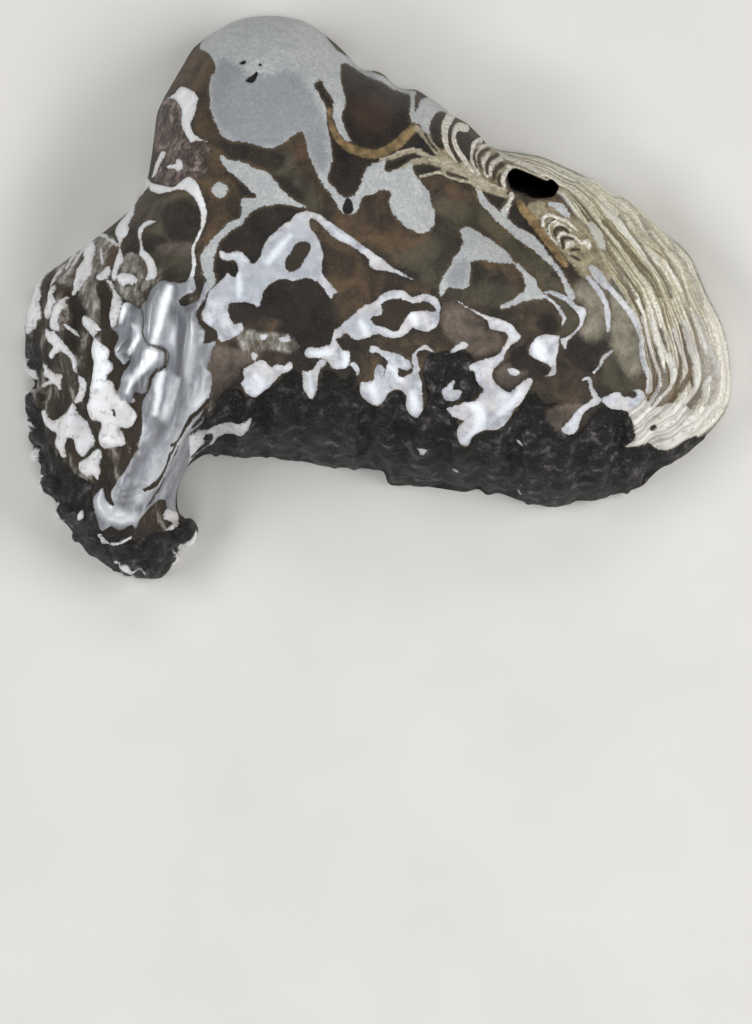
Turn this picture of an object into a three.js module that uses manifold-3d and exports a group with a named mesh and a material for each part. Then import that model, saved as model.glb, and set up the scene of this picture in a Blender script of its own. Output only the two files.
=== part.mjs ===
// The left valve of an old river mussel: a thick, arched half shell with a hollow inside, a worn hole
// near the hinge side, growth ledges at the rear and a narrow front lobe. It lies on its rim, outer side up.
// Millimetres. +X runs to the rear of the animal, +Y to the hinge side, +Z up, and the rim is on z = 0.

import * as THREE from 'three';
import { mergeVertices } from 'three/addons/utils/BufferGeometryUtils.js';
import Module from 'manifold-3d';

// The margin, counterclockwise from the beak over the front lobe and the belly edge to the rear
const MARGIN = [
  [-18.5, 48], [-23, 47.5], [-27, 45.5], [-30.5, 43], [-33.5, 39.5], [-35.5, 35], [-37.5, 31],
  [-38.5, 26], [-39, 21], [-41, 17], [-44, 13], [-48.5, 9.5], [-53.5, 6], [-57, 3], [-59, -1],
  [-60, -6], [-59.5, -11], [-58.5, -15], [-59, -20], [-58, -25], [-57, -29.5], [-55, -33.5],
  [-53.5, -38], [-51, -41.5], [-47.5, -45], [-43, -47.5], [-39, -48], [-36, -46], [-34.5, -43],
  [-33.5, -39.5], [-34, -36], [-33.5, -32], [-32, -28.5], [-29, -26.5], [-23.5, -27], [-16, -27.5],
  [-8, -29], [-1, -30], [3, -31.5], [10.5, -33], [19, -34], [27.5, -35], [34, -34.5], [41.5, -33],
  [46.5, -31], [52, -27.5], [56, -23], [59, -19.5], [60, -14.5], [59.5, -9], [57.5, -3], [55, 3.5],
  [52, 8], [46.5, 12], [41, 16.5], [35, 20], [29, 23.5], [23.5, 24.5], [18.5, 25.5], [14.5, 29.5],
  [10.5, 33], [6, 35], [2, 36.5], [-2, 38.5], [-5.5, 41.5], [-9.5, 45], [-13.5, 47],
];

// Heights of the arch: x, y, height, and how far in from the margin the side is still rising
const FORM = [
  [-19, 40, 19, 11], [-18.5, 28.5, 26, 12], [-13.5, 14, 29, 14], [-29.5, 16.5, 24, 11], [-35, 31, 17, 8],
  [3, 16.5, 27, 12], [0, 32, 20, 8], [15.5, 21.5, 18, 7], [26, 18, 15, 7], [37.5, 11.5, 15, 8],
  [51, 0, 12, 8], [55.5, -13, 10, 8], [46, -9, 16, 10], [31, 0, 22, 11], [31, -17.5, 22, 15],
  [46, -22.5, 14, 11], [12, 1, 27, 14], [-5, 0, 29, 16], [12, -14, 26, 18], [-8, -14, 27, 17],
  [-22.5, -9, 26, 14], [-27.5, -22.5, 19, 8], [-47.5, 7, 14, 7], [-55, -2, 12, 7], [-55, -21, 12, 7],
  [-45.5, -9, 21, 9], [-37, -2, 25, 10], [-38, -21, 24, 9], [-42, -33, 20, 8], [-44, -40.5, 15, 7.5],
  [-38, -44.5, 12, 7], [-51.5, -32, 12, 6], [-34, -34.5, 12, 6],
];
const FORM_REACH = 9;

// Raised lines: streaks of bare nacre on the lobe, and the growth ledges at the rear
const LOBE_RIDGES = [
  [[-35, 2], [-38, -8], [-39, -15], [-41, -24.5], [-43.5, -34.5]],
  [[-31, -3.5], [-32.5, -13.5], [-35, -22.5], [-39, -31]],
  [[-46.5, 2], [-46, -7.5], [-47.5, -17.5], [-45, -24.5]],
  [[-53.5, -0.5], [-51.5, -8], [-50, -17.5], [-51.5, -24.5]],
];
const GROWTH_LEDGES = [
  [[31, 16.5], [36, 11], [40, 6], [43, -0.5], [44.5, -7.5], [45, -13.5], [44, -16.5]],
  [[33.5, 18], [39.5, 11.5], [44.5, 4.5], [47.5, -2.5], [49.5, -9], [50, -13.5], [46.5, -18.5]],
  [[36, 19], [44.5, 11], [49.5, 3.5], [52, -4], [53.5, -10], [53.5, -15], [49.5, -19.5]],
  [[41, 15.5], [49, 8.5], [53.5, 1], [56, -6.5], [57, -12.5], [56, -17.5], [52.5, -22]],
];
const LOBE_RIDGE = { height: 1.5, reach: 1.5 };
const GROWTH_LEDGE = { height: 0.9, reach: 1.1 };

// Lumps of the belly shoulder, the wrinkles that run down from them, and the knots along the margin
const SHOULDER_LUMPS = [
  [-10, -13], [-5.5, -10.5], [-1, -16], [6, -18], [12.5, -15.5], [20.5, -17.5], [15.5, -22],
];
const SHOULDER_LUMP = { height: 1.2, reach: 2.2 };
const BELLY_LINE = [[-26, -21], [-8, -22.5], [12, -26], [31, -27.5], [44.5, -24.5]];
const WRINKLE = { height: 0.7, reach: 5, pitch: 6 };
const MARGIN_KNOTS = [
  [-58.5, -17.5, 1.3], [-57.5, -24, 1.5], [-56.5, -27, 1.4], [-55, -32, 1.7], [-53, -36.5, 1.5],
  [-34, -40, 1.9], [-36, -44, 1.2],
];

// The worn hole, about 8.6 by 4.9
const HOLE = [
  [21.8, 20.4], [22.6, 21.2], [24.5, 20.9], [26.5, 20.1], [29.1, 19.6], [30.4, 18.2], [29.6, 16.5],
  [27.2, 16.3], [24.8, 16.7], [22.8, 18],
];

// The wall, the flat rim, the broader shelf under the hinge, and the blunt tooth beside it
const WALL = 3.5;
const RIM = 2.4;
const HINGE_LINE = [[-14, 43], [-4, 36], [7, 31], [20, 22], [34, 17]];
const HINGE_SHELF = { width: 3.4, reach: 7 };
const SIDE_CURVE = 0.72;
const TOOTH = { ends: [[-24, 35], [-13, 31]], reach: 3.4, share: 0.5 };

// The mesh: points around the margin, rings up the side, and the spacing of the lattice over the back
const AROUND = 192;
const OUTER_MESH = { rings: 5, spacing: 2.0 };
const INNER_MESH = { rings: 4, spacing: 3.2 };
const INNER_SIDE = 0.8;
const NORMAL_SMOOTHING = 6;
const LATTICE_CLEARANCE = 0.62;
const LATTICE_JITTER = 0.04;
const HOLE_CUT_HEIGHT = 60;

const SHELL_COLOUR = 0x6f665c;
const SHELL_ROUGHNESS = 0.55;

function curveThrough(points, closed) {
  const knots = points.map(([x, y]) => new THREE.Vector3(x, y, 0));
  return new THREE.CatmullRomCurve3(knots, closed, 'centripetal');
}

function distanceToSegment(x, y, [ax, ay], [bx, by]) {
  const [dx, dy] = [bx - ax, by - ay];
  const along = ((x - ax) * dx + (y - ay) * dy) / (dx * dx + dy * dy);
  const t = THREE.MathUtils.clamp(along, 0, 1);
  return Math.hypot(x - ax - t * dx, y - ay - t * dy);
}

function distanceToLine(x, y, line, closed = false) {
  let nearest = Infinity;
  const last = closed ? line.length : line.length - 1;
  for (let i = 0; i < last; i++) {
    const distance = distanceToSegment(x, y, line[i], line[(i + 1) % line.length]);
    nearest = Math.min(nearest, distance);
  }
  return nearest;
}

function bell(distance, reach) {
  return Math.exp(-((distance / reach) ** 2));
}

const margin = curveThrough(MARGIN, true);
const outline = margin.getSpacedPoints(AROUND).slice(0, AROUND).map((p) => [p.x, p.y]);

// Directions from the margin inwards, evened out so that neighbouring rings don't cross
function inwardDirections() {
  return outline.map((_, i) => {
    const sum = new THREE.Vector2();
    for (let k = -NORMAL_SMOOTHING; k <= NORMAL_SMOOTHING; k++) {
      const before = outline[(i + k - 1 + AROUND) % AROUND];
      const after = outline[(i + k + 1 + AROUND) % AROUND];
      sum.add(new THREE.Vector2(before[1] - after[1], after[0] - before[0]).normalize());
    }
    return sum.normalize();
  });
}

const inwards = inwardDirections();

// Height of the arch and width of its side, blended from the nearest entries of FORM
function formAt(x, y) {
  let [weight, height, side] = [0, 0, 0];
  for (const [fx, fy, fHeight, fSide] of FORM) {
    const w = bell(Math.hypot(x - fx, y - fy), FORM_REACH) + 1e-9;
    weight += w;
    height += w * fHeight;
    side += w * fSide;
  }
  return { height: height / weight, side: side / weight };
}

// The rise of the side: steep at the margin and level where the side ends
function rise(fraction) {
  const left = 1 - THREE.MathUtils.clamp(fraction, 0, 1);
  return (1 - left * left) ** SIDE_CURVE;
}

function reliefAt(x, y) {
  let relief = 0;
  for (const ridge of LOBE_RIDGES) {
    relief += LOBE_RIDGE.height * bell(distanceToLine(x, y, ridge), LOBE_RIDGE.reach);
  }
  for (const ledge of GROWTH_LEDGES) {
    relief += GROWTH_LEDGE.height * bell(distanceToLine(x, y, ledge), GROWTH_LEDGE.reach);
  }
  for (const [lx, ly] of SHOULDER_LUMPS) {
    relief += SHOULDER_LUMP.height * bell(Math.hypot(x - lx, y - ly), SHOULDER_LUMP.reach);
  }
  const belly = bell(distanceToLine(x, y, BELLY_LINE), WRINKLE.reach);
  return relief + WRINKLE.height * belly * Math.sin((2 * Math.PI * x) / WRINKLE.pitch);
}

function outerHeight(x, y) {
  const inward = distanceToLine(x, y, outline, true);
  const { height, side } = formAt(x, y);
  const risen = rise(inward / side);
  return height * risen + reliefAt(x, y) * risen;
}

function rimWidth(x, y) {
  return RIM + HINGE_SHELF.width * bell(distanceToLine(x, y, HINGE_LINE), HINGE_SHELF.reach);
}

function innerHeight(x, y) {
  const inward = distanceToLine(x, y, outline, true);
  const { height, side } = formAt(x, y);
  const tooth = TOOTH.share * bell(distanceToLine(x, y, TOOTH.ends), TOOTH.reach);
  return (height - WALL) * (1 - tooth) * rise((inward - rimWidth(x, y)) / (side * INNER_SIDE));
}

// Rings of points over one side of the wall, from the rim up to where the back of the arch begins
function sideRings(count, startOf, sideShare, heightOf) {
  const rings = [];
  for (let k = 0; k <= count; k++) {
    const turned = (k / count) * (Math.PI / 2);
    rings.push(outline.map(([x, y], i) => {
      const reach = startOf(x, y) + formAt(x, y).side * sideShare * (1 - Math.cos(turned));
      const px = x + inwards[i].x * reach;
      const py = y + inwards[i].y * reach;
      return [px, py, k === 0 ? 0 : heightOf(px, py)];
    }));
  }
  return rings;
}

function isInside(x, y, loop) {
  let inside = false;
  loop.forEach(([ax, ay], i) => {
    const [bx, by] = loop[(i + 1) % loop.length];
    if (ay > y !== by > y && x < ax + ((y - ay) * (bx - ax)) / (by - ay)) inside = !inside;
  });
  return inside;
}

// Points of a triangular lattice inside a loop, each moved a little so that no four lie on one circle
function latticeInside(loop, spacing, heightOf) {
  const points = [];
  const rowHeight = spacing * Math.sqrt(0.75);
  const reach = 70;
  for (let row = 0; row * rowHeight < 2 * reach; row++) {
    for (let column = 0; column * spacing < 2 * reach; column++) {
      const jitter = LATTICE_JITTER * spacing * Math.sin(12.9 * column + 78.2 * row);
      const x = (column + (row % 2) / 2) * spacing - reach + jitter;
      const y = row * rowHeight - reach - jitter;
      const clear = distanceToLine(x, y, loop, true) > spacing * LATTICE_CLEARANCE;
      if (clear && isInside(x, y, loop)) points.push([x, y, heightOf(x, y)]);
    }
  }
  return points;
}

function circleAround(a, b, c) {
  const [bx, by, cx, cy] = [b[0] - a[0], b[1] - a[1], c[0] - a[0], c[1] - a[1]];
  const cross = 2 * (bx * cy - by * cx);
  const x = (cy * (bx * bx + by * by) - by * (cx * cx + cy * cy)) / cross;
  const y = (bx * (cx * cx + cy * cy) - cx * (bx * bx + by * by)) / cross;
  return { x: a[0] + x, y: a[1] + y, radiusSquared: x * x + y * y };
}

// Delaunay triangles, counterclockwise from above, over points that are added one by one
function triangulate(points) {
  const far = 1000;
  const all = [...points, [-far, -far], [far, -far], [0, far]];
  const first = points.length;
  const make = (corners) => ({ corners, circle: circleAround(...corners.map((i) => all[i])) });
  let triangles = [make([first, first + 1, first + 2])];
  points.forEach(([x, y], index) => {
    const open = new Map();
    triangles = triangles.filter(({ corners, circle }) => {
      if ((x - circle.x) ** 2 + (y - circle.y) ** 2 >= circle.radiusSquared) return true;
      corners.forEach((from, k) => {
        const to = corners[(k + 1) % 3];
        if (!open.delete(`${to},${from}`)) open.set(`${from},${to}`, [from, to]);
      });
      return false;
    });
    for (const [from, to] of open.values()) triangles.push(make([from, to, index]));
  });
  return triangles.map(({ corners }) => corners).filter((corners) => Math.max(...corners) < first);
}

// One whole surface, outer or inner: its rings joined by strips, and the lattice inside the last ring
function surface({ rings: count, spacing }, startOf, sideShare, heightOf) {
  const rings = sideRings(count, startOf, sideShare, heightOf);
  const loop = rings.at(-1);
  const back = [...loop, ...latticeInside(loop, spacing, heightOf)];
  const points = [...rings.slice(0, -1).flat(), ...back];
  const backStart = count * AROUND;
  const faces = [];
  for (let k = 0; k < count; k++) faces.push(...strip(k * AROUND, (k + 1) * AROUND));
  for (const corners of triangulate(back)) {
    const x = corners.reduce((sum, i) => sum + back[i][0] / 3, 0);
    const y = corners.reduce((sum, i) => sum + back[i][1] / 3, 0);
    if (isInside(x, y, loop)) faces.push(corners.map((i) => i + backStart));
  }
  return { points, faces };
}

// The band of triangles between two rings that start at the given point numbers
function strip(near, far) {
  const faces = [];
  for (let i = 0; i < AROUND; i++) {
    const next = (i + 1) % AROUND;
    faces.push([near + i, near + next, far + next], [near + i, far + next, far + i]);
  }
  return faces;
}

const turnedOver = (faces) => faces.map((face) => face.toReversed());

// Closed mesh of the valve: the outer surface, the hollow, and the flat rim between them
function valveGeometry() {
  const outer = surface(OUTER_MESH, () => 0, 1, outerHeight);
  const hollow = surface(INNER_MESH, rimWidth, INNER_SIDE, innerHeight);
  const hollowStart = outer.points.length;
  const hollowFaces = hollow.faces.map((face) => face.map((i) => i + hollowStart));
  const faces = [...outer.faces, ...turnedOver(hollowFaces), ...turnedOver(strip(0, hollowStart))];
  const points = [...outer.points, ...hollow.points];
  const geometry = new THREE.BufferGeometry();
  geometry.setAttribute('position', new THREE.Float32BufferAttribute(points.flat(), 3));
  geometry.setIndex(faces.flat());
  return geometry;
}

const wasm = await Module();
wasm.setup();

function toSolid(geometry) {
  geometry.deleteAttribute('normal');
  geometry.deleteAttribute('uv');
  const merged = mergeVertices(geometry);
  return new wasm.Manifold(new wasm.Mesh({
    numProp: 3,
    vertProperties: new Float32Array(merged.attributes.position.array),
    triVerts: new Uint32Array(merged.index.array),
  }));
}

function toGeometry(solid) {
  const mesh = solid.getMesh();
  const geometry = new THREE.BufferGeometry();
  geometry.setAttribute('position', new THREE.Float32BufferAttribute(mesh.vertProperties, 3));
  geometry.setIndex(new THREE.Uint32BufferAttribute(mesh.triVerts, 1));
  geometry.computeVertexNormals();
  return geometry;
}

// A knot of shell matter on the margin, standing on the plane that the rim rests on
function knotSolid([x, y, radius]) {
  const knot = new THREE.SphereGeometry(radius, 8, 6);
  knot.rotateX(Math.PI / 2);
  knot.translate(x, y, radius);
  return toSolid(knot);
}

function holeSolid() {
  const shape = new THREE.Shape(HOLE.map(([x, y]) => new THREE.Vector2(x, y)));
  return toSolid(new THREE.ExtrudeGeometry(shape, { depth: HOLE_CUT_HEIGHT, bevelEnabled: false }));
}

function makeLeftValve() {
  let solid = toSolid(valveGeometry());
  for (const knot of MARGIN_KNOTS) solid = solid.add(knotSolid(knot));
  solid = solid.subtract(holeSolid());
  const material = new THREE.MeshStandardMaterial({
    color: SHELL_COLOUR,
    roughness: SHELL_ROUGHNESS,
    metalness: 0,
  });
  const valve = new THREE.Mesh(toGeometry(solid), material);
  valve.name = 'left_valve';
  return valve;
}

const musselShell = new THREE.Group();
musselShell.add(makeLeftValve());

export default musselShell;
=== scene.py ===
# Looks of one worn river mussel valve. It lies on its rim with its outer side up, seen from straight above.
# Shapes are worked out in millimetres in the part's own frame and turned to metres when a mesh is made.
import math

import bpy
import numpy as np
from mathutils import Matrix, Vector
from mathutils.geometry import delaunay_2d_cdt


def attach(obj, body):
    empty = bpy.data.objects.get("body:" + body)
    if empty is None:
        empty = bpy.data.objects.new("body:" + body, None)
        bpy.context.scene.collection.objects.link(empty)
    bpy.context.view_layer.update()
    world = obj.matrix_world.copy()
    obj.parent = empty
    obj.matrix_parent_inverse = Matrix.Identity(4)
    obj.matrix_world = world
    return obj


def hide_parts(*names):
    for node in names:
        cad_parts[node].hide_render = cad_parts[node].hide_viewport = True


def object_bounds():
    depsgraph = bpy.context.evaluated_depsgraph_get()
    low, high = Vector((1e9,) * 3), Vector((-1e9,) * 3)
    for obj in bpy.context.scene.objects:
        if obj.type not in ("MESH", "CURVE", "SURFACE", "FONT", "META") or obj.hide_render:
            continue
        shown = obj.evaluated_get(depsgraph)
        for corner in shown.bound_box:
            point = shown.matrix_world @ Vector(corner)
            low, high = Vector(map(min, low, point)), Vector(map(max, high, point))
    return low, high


MM = 0.001

# Marks are placed on a chart of the valve seen from above, x to the rear and y down from the hinge side.
CHART_UNIT = 0.17
CHART_SIZE = (752, 1024)
CHART_ORIGIN = (378, 297)

# Camera: a long lens, straight down over the chart's middle
LENS = 250.0
SENSOR = 36.0
CAMERA_HEIGHT = CHART_SIZE[1] * CHART_UNIT * LENS / SENSOR
CAMERA_X = (CHART_SIZE[0] / 2 - CHART_ORIGIN[0]) * CHART_UNIT
CAMERA_Y = (CHART_ORIGIN[1] - CHART_SIZE[1] / 2) * CHART_UNIT

# The floor's half width, the sky and the soft lamps around the valve, in metres and watts. A lamp has its
# name, place, size, power and colour.
FLOOR_HALF = 3.0
SKY_COLOUR = (0.94, 0.97, 1.0, 1.0)
SKY_STRENGTH = 0.08
LAMPS = [
    ("left_strip", (-0.5, 0.0, 0.44), (0.5, 0.14), 2.5, (1.0, 1.0, 1.0)),
    ("right_strip", (0.5, 0.0, 0.4), (0.5, 0.14), 3.0, (1.0, 0.98, 0.95)),
    ("back_strip", (0.0, 0.5, 0.44), (0.5, 0.14), 1.0, (1.0, 1.0, 1.0)),
    ("front_strip", (0.0, -0.5, 0.36), (0.4, 0.1), 1.3, (1.0, 1.0, 1.0)),
]

# The margin on the chart, from the beak over the front lobe and the belly edge to the rear
MARGIN = [
    (268, 15), (242, 19), (222, 28), (206, 38), (193, 49), (182, 67), (172, 84), (163, 100), (157, 115),
    (154, 138), (151, 160), (147, 180), (140, 194), (130, 210), (115, 223), (100, 235), (86, 246),
    (72, 256), (58, 266), (45, 275), (37, 287), (31, 302), (28, 318), (25, 333), (24, 348), (27, 362),
    (31, 375), (35, 384), (30, 391), (26, 400), (26, 409), (29, 416), (31, 425), (30, 435), (33, 444),
    (35, 457), (41, 465), (43, 473), (41, 482), (45, 492), (53, 498), (57, 505), (58, 516), (68, 526),
    (80, 543), (95, 557), (112, 569), (130, 577), (145, 580), (158, 579), (165, 570), (172, 561),
    (175, 552), (181, 546), (190, 538), (193, 528), (186, 519), (179, 512), (177, 497), (180, 482),
    (187, 468), (197, 459), (210, 454), (240, 457), (270, 457), (300, 461), (330, 467), (360, 468),
    (384, 472), (392, 483), (410, 485), (430, 487), (450, 490), (465, 492), (478, 489), (487, 495),
    (497, 493), (505, 495), (525, 502), (545, 504), (566, 503), (575, 499), (600, 497), (625, 492),
    (642, 486), (650, 478), (660, 469), (675, 461), (688, 453), (700, 441), (714, 427), (725, 412),
    (731, 398), (733, 384), (731, 365), (726, 338), (720, 320), (713, 306), (706, 292), (699, 275),
    (692, 259), (680, 245), (665, 234), (648, 222), (632, 208), (615, 197), (600, 186), (580, 174),
    (560, 165), (542, 157), (520, 153), (500, 150), (488, 145), (478, 134), (466, 123), (452, 115),
    (440, 105), (428, 97), (416, 90), (402, 89), (392, 83), (384, 75), (375, 71), (362, 70), (350, 58),
    (338, 46), (325, 35), (312, 26), (300, 20), (285, 17),
]

# Heights of the arch in millimetres: x, y, height, and how far in from the margin the side still rises
FORM = [
    (-19, 40, 19, 11), (-18.5, 28.5, 26, 12), (-13.5, 14, 29, 14), (-29.5, 16.5, 24, 11), (-35, 31, 17, 8),
    (3, 16.5, 27, 12), (0, 32, 20, 8), (15.5, 21.5, 18, 7), (26, 18, 15, 7), (37.5, 11.5, 15, 8),
    (51, 0, 12, 8), (55.5, -13, 10, 8), (46, -9, 16, 10), (31, 0, 22, 11), (31, -17.5, 22, 15),
    (46, -22.5, 14, 11), (12, 1, 27, 14), (-5, 0, 29, 16), (12, -14, 26, 18), (-8, -14, 27, 17),
    (-22.5, -9, 26, 14), (-27.5, -22.5, 19, 8), (-47.5, 7, 14, 7), (-55, -2, 12, 7), (-55, -21, 12, 7),
    (-45.5, -9, 21, 9), (-37, -2, 25, 10), (-38, -21, 24, 9), (-42, -33, 20, 8), (-44, -40.5, 15, 7.5),
    (-38, -44.5, 12, 7), (-51.5, -32, 12, 6), (-34, -34.5, 12, 6),
]
FORM_REACH = 9.0
SIDE_CURVE = 0.72

# The wall, the rim, the shelf under the hinge and the blunt tooth beside it, in millimetres
WALL = 3.5
RIM = 2.4
HINGE_LINE = [(-14, 43), (-4, 36), (7, 31), (20, 22), (34, 17)]
HINGE_SHELF_WIDTH = 3.4
HINGE_SHELF_REACH = 7.0
TOOTH = [(-24, 35), (-13, 31)]
TOOTH_REACH = 3.4
TOOTH_SHARE = 0.5
INNER_SIDE = 0.8

# Mesh spacing in millimetres: the outer side is fine, the hollow coarser. Rings near the margin crowd to it.
SPACING = 0.32
EDGE_SPACING = 0.42
HOLLOW_SPACING = 0.95
LATTICE_CLEARANCE = 0.55
SIDE_DEPTH = 2.4
SIDE_RINGS = 10
SIDE_CROWDING = 1.6
LIP_DEPTH = 3.2
LIP_RINGS = 6
LIP_CROWDING = 1.5
NORMAL_WINDOW = 3.0
HOLE_WALL_RINGS = 5
RELIEF_STARTS = 1.2

# Smooth lines: steps between two given points, and the spacing of what is kept, on the chart
CURVE_STEPS = 12
OUTLINE_SPACING = 2.5
STROKE_SPACING = 3.0
HOLE_SPACING = 2.0

# The height that noise reaches when finer lumps are added to it
ROUGH_PEAK = 1.6

# The worn hole, on the chart
HOLE = [
    (506, 178), (512, 172), (520, 174), (530, 178), (538, 181), (545, 184), (550, 182), (557, 189),
    (554, 197), (550, 201), (538, 202), (530, 202), (522, 199), (512, 196), (508, 189),
]


def spline(points, spacing, closed=False):
    """A smooth line through the points, with its own points evenly spaced."""
    p = np.asarray(points, float)
    count = len(p)
    if closed:
        p = np.vstack([p[-1], p, p[0], p[1]])
        spans = count
    else:
        p = np.vstack([2 * p[0] - p[1], p, 2 * p[-1] - p[-2]])
        spans = count - 1
    steps = np.linspace(0, 1, CURVE_STEPS, endpoint=False)[:, None]
    pieces = []
    for i in range(spans):
        a, b, c, d = p[i : i + 4]
        pieces.append(0.5 * (2 * b + (c - a) * steps + (2 * a - 5 * b + 4 * c - d) * steps**2
                             + (3 * b - a - 3 * c + d) * steps**3))
    dense = np.vstack([*pieces, p[1 + spans][None]])
    run = np.concatenate([[0], np.cumsum(np.linalg.norm(np.diff(dense, axis=0), axis=1))])
    number = max(int(round(run[-1] / spacing)), 3)
    places = np.linspace(0, run[-1], number + 1)
    line = np.stack([np.interp(places, run, dense[:, k]) for k in range(2)], axis=1)
    return line[:-1] if closed else line


def distance_to(points, line, closed=False, widths=None):
    """Distance from each point to a line. With widths, less the half width there: below 0 inside."""
    line = np.asarray(line, float)
    starts = line if closed else line[:-1]
    ends = np.roll(line, -1, axis=0) if closed else line[1:]
    best = np.full(len(points), np.inf)
    for i, (a, b) in enumerate(zip(starts, ends)):
        step = b - a
        length = step @ step + 1e-12
        along = np.clip(((points - a) @ step) / length, 0, 1)
        gap = np.hypot(points[:, 0] - a[0] - along * step[0], points[:, 1] - a[1] - along * step[1])
        if widths is not None:
            gap = gap - (widths[i] + (widths[i + 1] - widths[i]) * along) / 2
        np.minimum(best, gap, out=best)
    return best


def is_inside(points, loop):
    x, y = points[:, 0], points[:, 1]
    inside = np.zeros(len(points), bool)
    for (ax, ay), (bx, by) in zip(loop, np.roll(loop, -1, axis=0)):
        if ay == by:
            continue
        crosses = ((ay > y) != (by > y)) & (x < ax + (y - ay) * (bx - ax) / (by - ay))
        inside ^= crosses
    return inside


def bell(distance, reach):
    return np.exp(-((distance / reach) ** 2))


def smooth(value):
    value = np.clip(value, 0, 1)
    return value * value * (3 - 2 * value)


def hashed(cells, seed):
    """A fixed number from -1 to 1 for each cell of a grid."""
    n = cells[:, 0] * 374761393 + cells[:, 1] * 668265263 + cells[:, 2] * 2147483647 + seed * 974711
    n = (n ^ (n >> 13)) * 1274126177
    n = n ^ (n >> 16)
    return (n & 0xFFFFFF) / 0x7FFFFF - 1.0


def noise(points, size, seed=0):
    """Smooth noise from -1 to 1, whose lumps are about size across."""
    p = points / size
    cell = np.floor(p).astype(np.int64)
    part = p - cell
    part = part * part * (3 - 2 * part)
    total = np.zeros(len(p))
    for corner in np.ndindex(2, 2, 2):
        pick = np.array(corner)
        weight = np.prod(np.where(pick, part, 1 - part), axis=1)
        total += weight * hashed(cell + pick, seed)
    return total


def rough(points, size, octaves=3, seed=0):
    """Noise with finer lumps added, about from -1 to 1."""
    total = np.zeros(len(points))
    for k in range(octaves):
        total += noise(points, size / 2**k, seed + 17 * k) / 2**k
    return total / ROUGH_PEAK


def from_chart(points):
    p = np.asarray(points, float)
    return np.stack([p[:, 0] - CHART_ORIGIN[0], CHART_ORIGIN[1] - p[:, 1]], axis=1) * CHART_UNIT


def to_chart(places):
    """Where places in millimetres show on the chart, as the camera above sees them."""
    nearer = CAMERA_HEIGHT / (CAMERA_HEIGHT - places[:, 2])
    u = CHART_SIZE[0] / 2 + (places[:, 0] - CAMERA_X) * nearer / CHART_UNIT
    v = CHART_SIZE[1] / 2 - (places[:, 1] - CAMERA_Y) * nearer / CHART_UNIT
    return np.stack([u, v], axis=1)


OUTLINE = from_chart(spline(MARGIN, EDGE_SPACING / CHART_UNIT, closed=True))
COARSE_OUTLINE = OUTLINE[::2]


def form_at(places):
    form = np.asarray(FORM, float)
    gap = np.hypot(places[:, None, 0] - form[:, 0], places[:, None, 1] - form[:, 1])
    weight = bell(gap, FORM_REACH) + 1e-9
    weight /= weight.sum(axis=1, keepdims=True)
    return weight @ form[:, 2], weight @ form[:, 3]


def rise(fraction):
    left = 1 - np.clip(fraction, 0, 1)
    return (1 - left * left) ** SIDE_CURVE


def outer_height(places):
    inward = distance_to(places, COARSE_OUTLINE, closed=True)
    height, side = form_at(places)
    return height * rise(inward / side)


def rim_width(places):
    return RIM + HINGE_SHELF_WIDTH * bell(distance_to(places, HINGE_LINE), HINGE_SHELF_REACH)


def hollow_height(places):
    inward = distance_to(places, COARSE_OUTLINE, closed=True)
    height, side = form_at(places)
    tooth = TOOTH_SHARE * bell(distance_to(places, TOOTH), TOOTH_REACH)
    return (height - WALL) * (1 - tooth) * rise((inward - rim_width(places)) / (side * INNER_SIDE))


def inward_directions(loop):
    """Directions from the margin inwards, evened out so that rings don't cross."""
    along = np.roll(loop, -1, axis=0) - np.roll(loop, 1, axis=0)
    normal = np.stack([-along[:, 1], along[:, 0]], axis=1)
    normal /= np.linalg.norm(normal, axis=1, keepdims=True)
    window = int(NORMAL_WINDOW / EDGE_SPACING)
    total = sum(np.roll(normal, k, axis=0) for k in range(-window, window + 1))
    return total / np.linalg.norm(total, axis=1, keepdims=True)


def lattice(spacing):
    low, high = OUTLINE.min(axis=0), OUTLINE.max(axis=0)
    row_height = spacing * math.sqrt(0.75)
    rows = np.arange(low[1], high[1], row_height)
    columns = np.arange(low[0], high[0], spacing)
    x, y = np.meshgrid(columns, rows)
    x = x + (np.arange(len(rows))[:, None] % 2) * spacing / 2
    points = np.stack([x.ravel(), y.ravel()], axis=1)
    return points[is_inside(points, OUTLINE[::3])]


def strip(near, far):
    """Triangles between two rings of the same count, given their point numbers."""
    a, b = near, np.roll(near, -1)
    c, d = np.roll(far, -1), far
    return np.vstack([np.stack([a, b, c], axis=1), np.stack([a, c, d], axis=1)])


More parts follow.
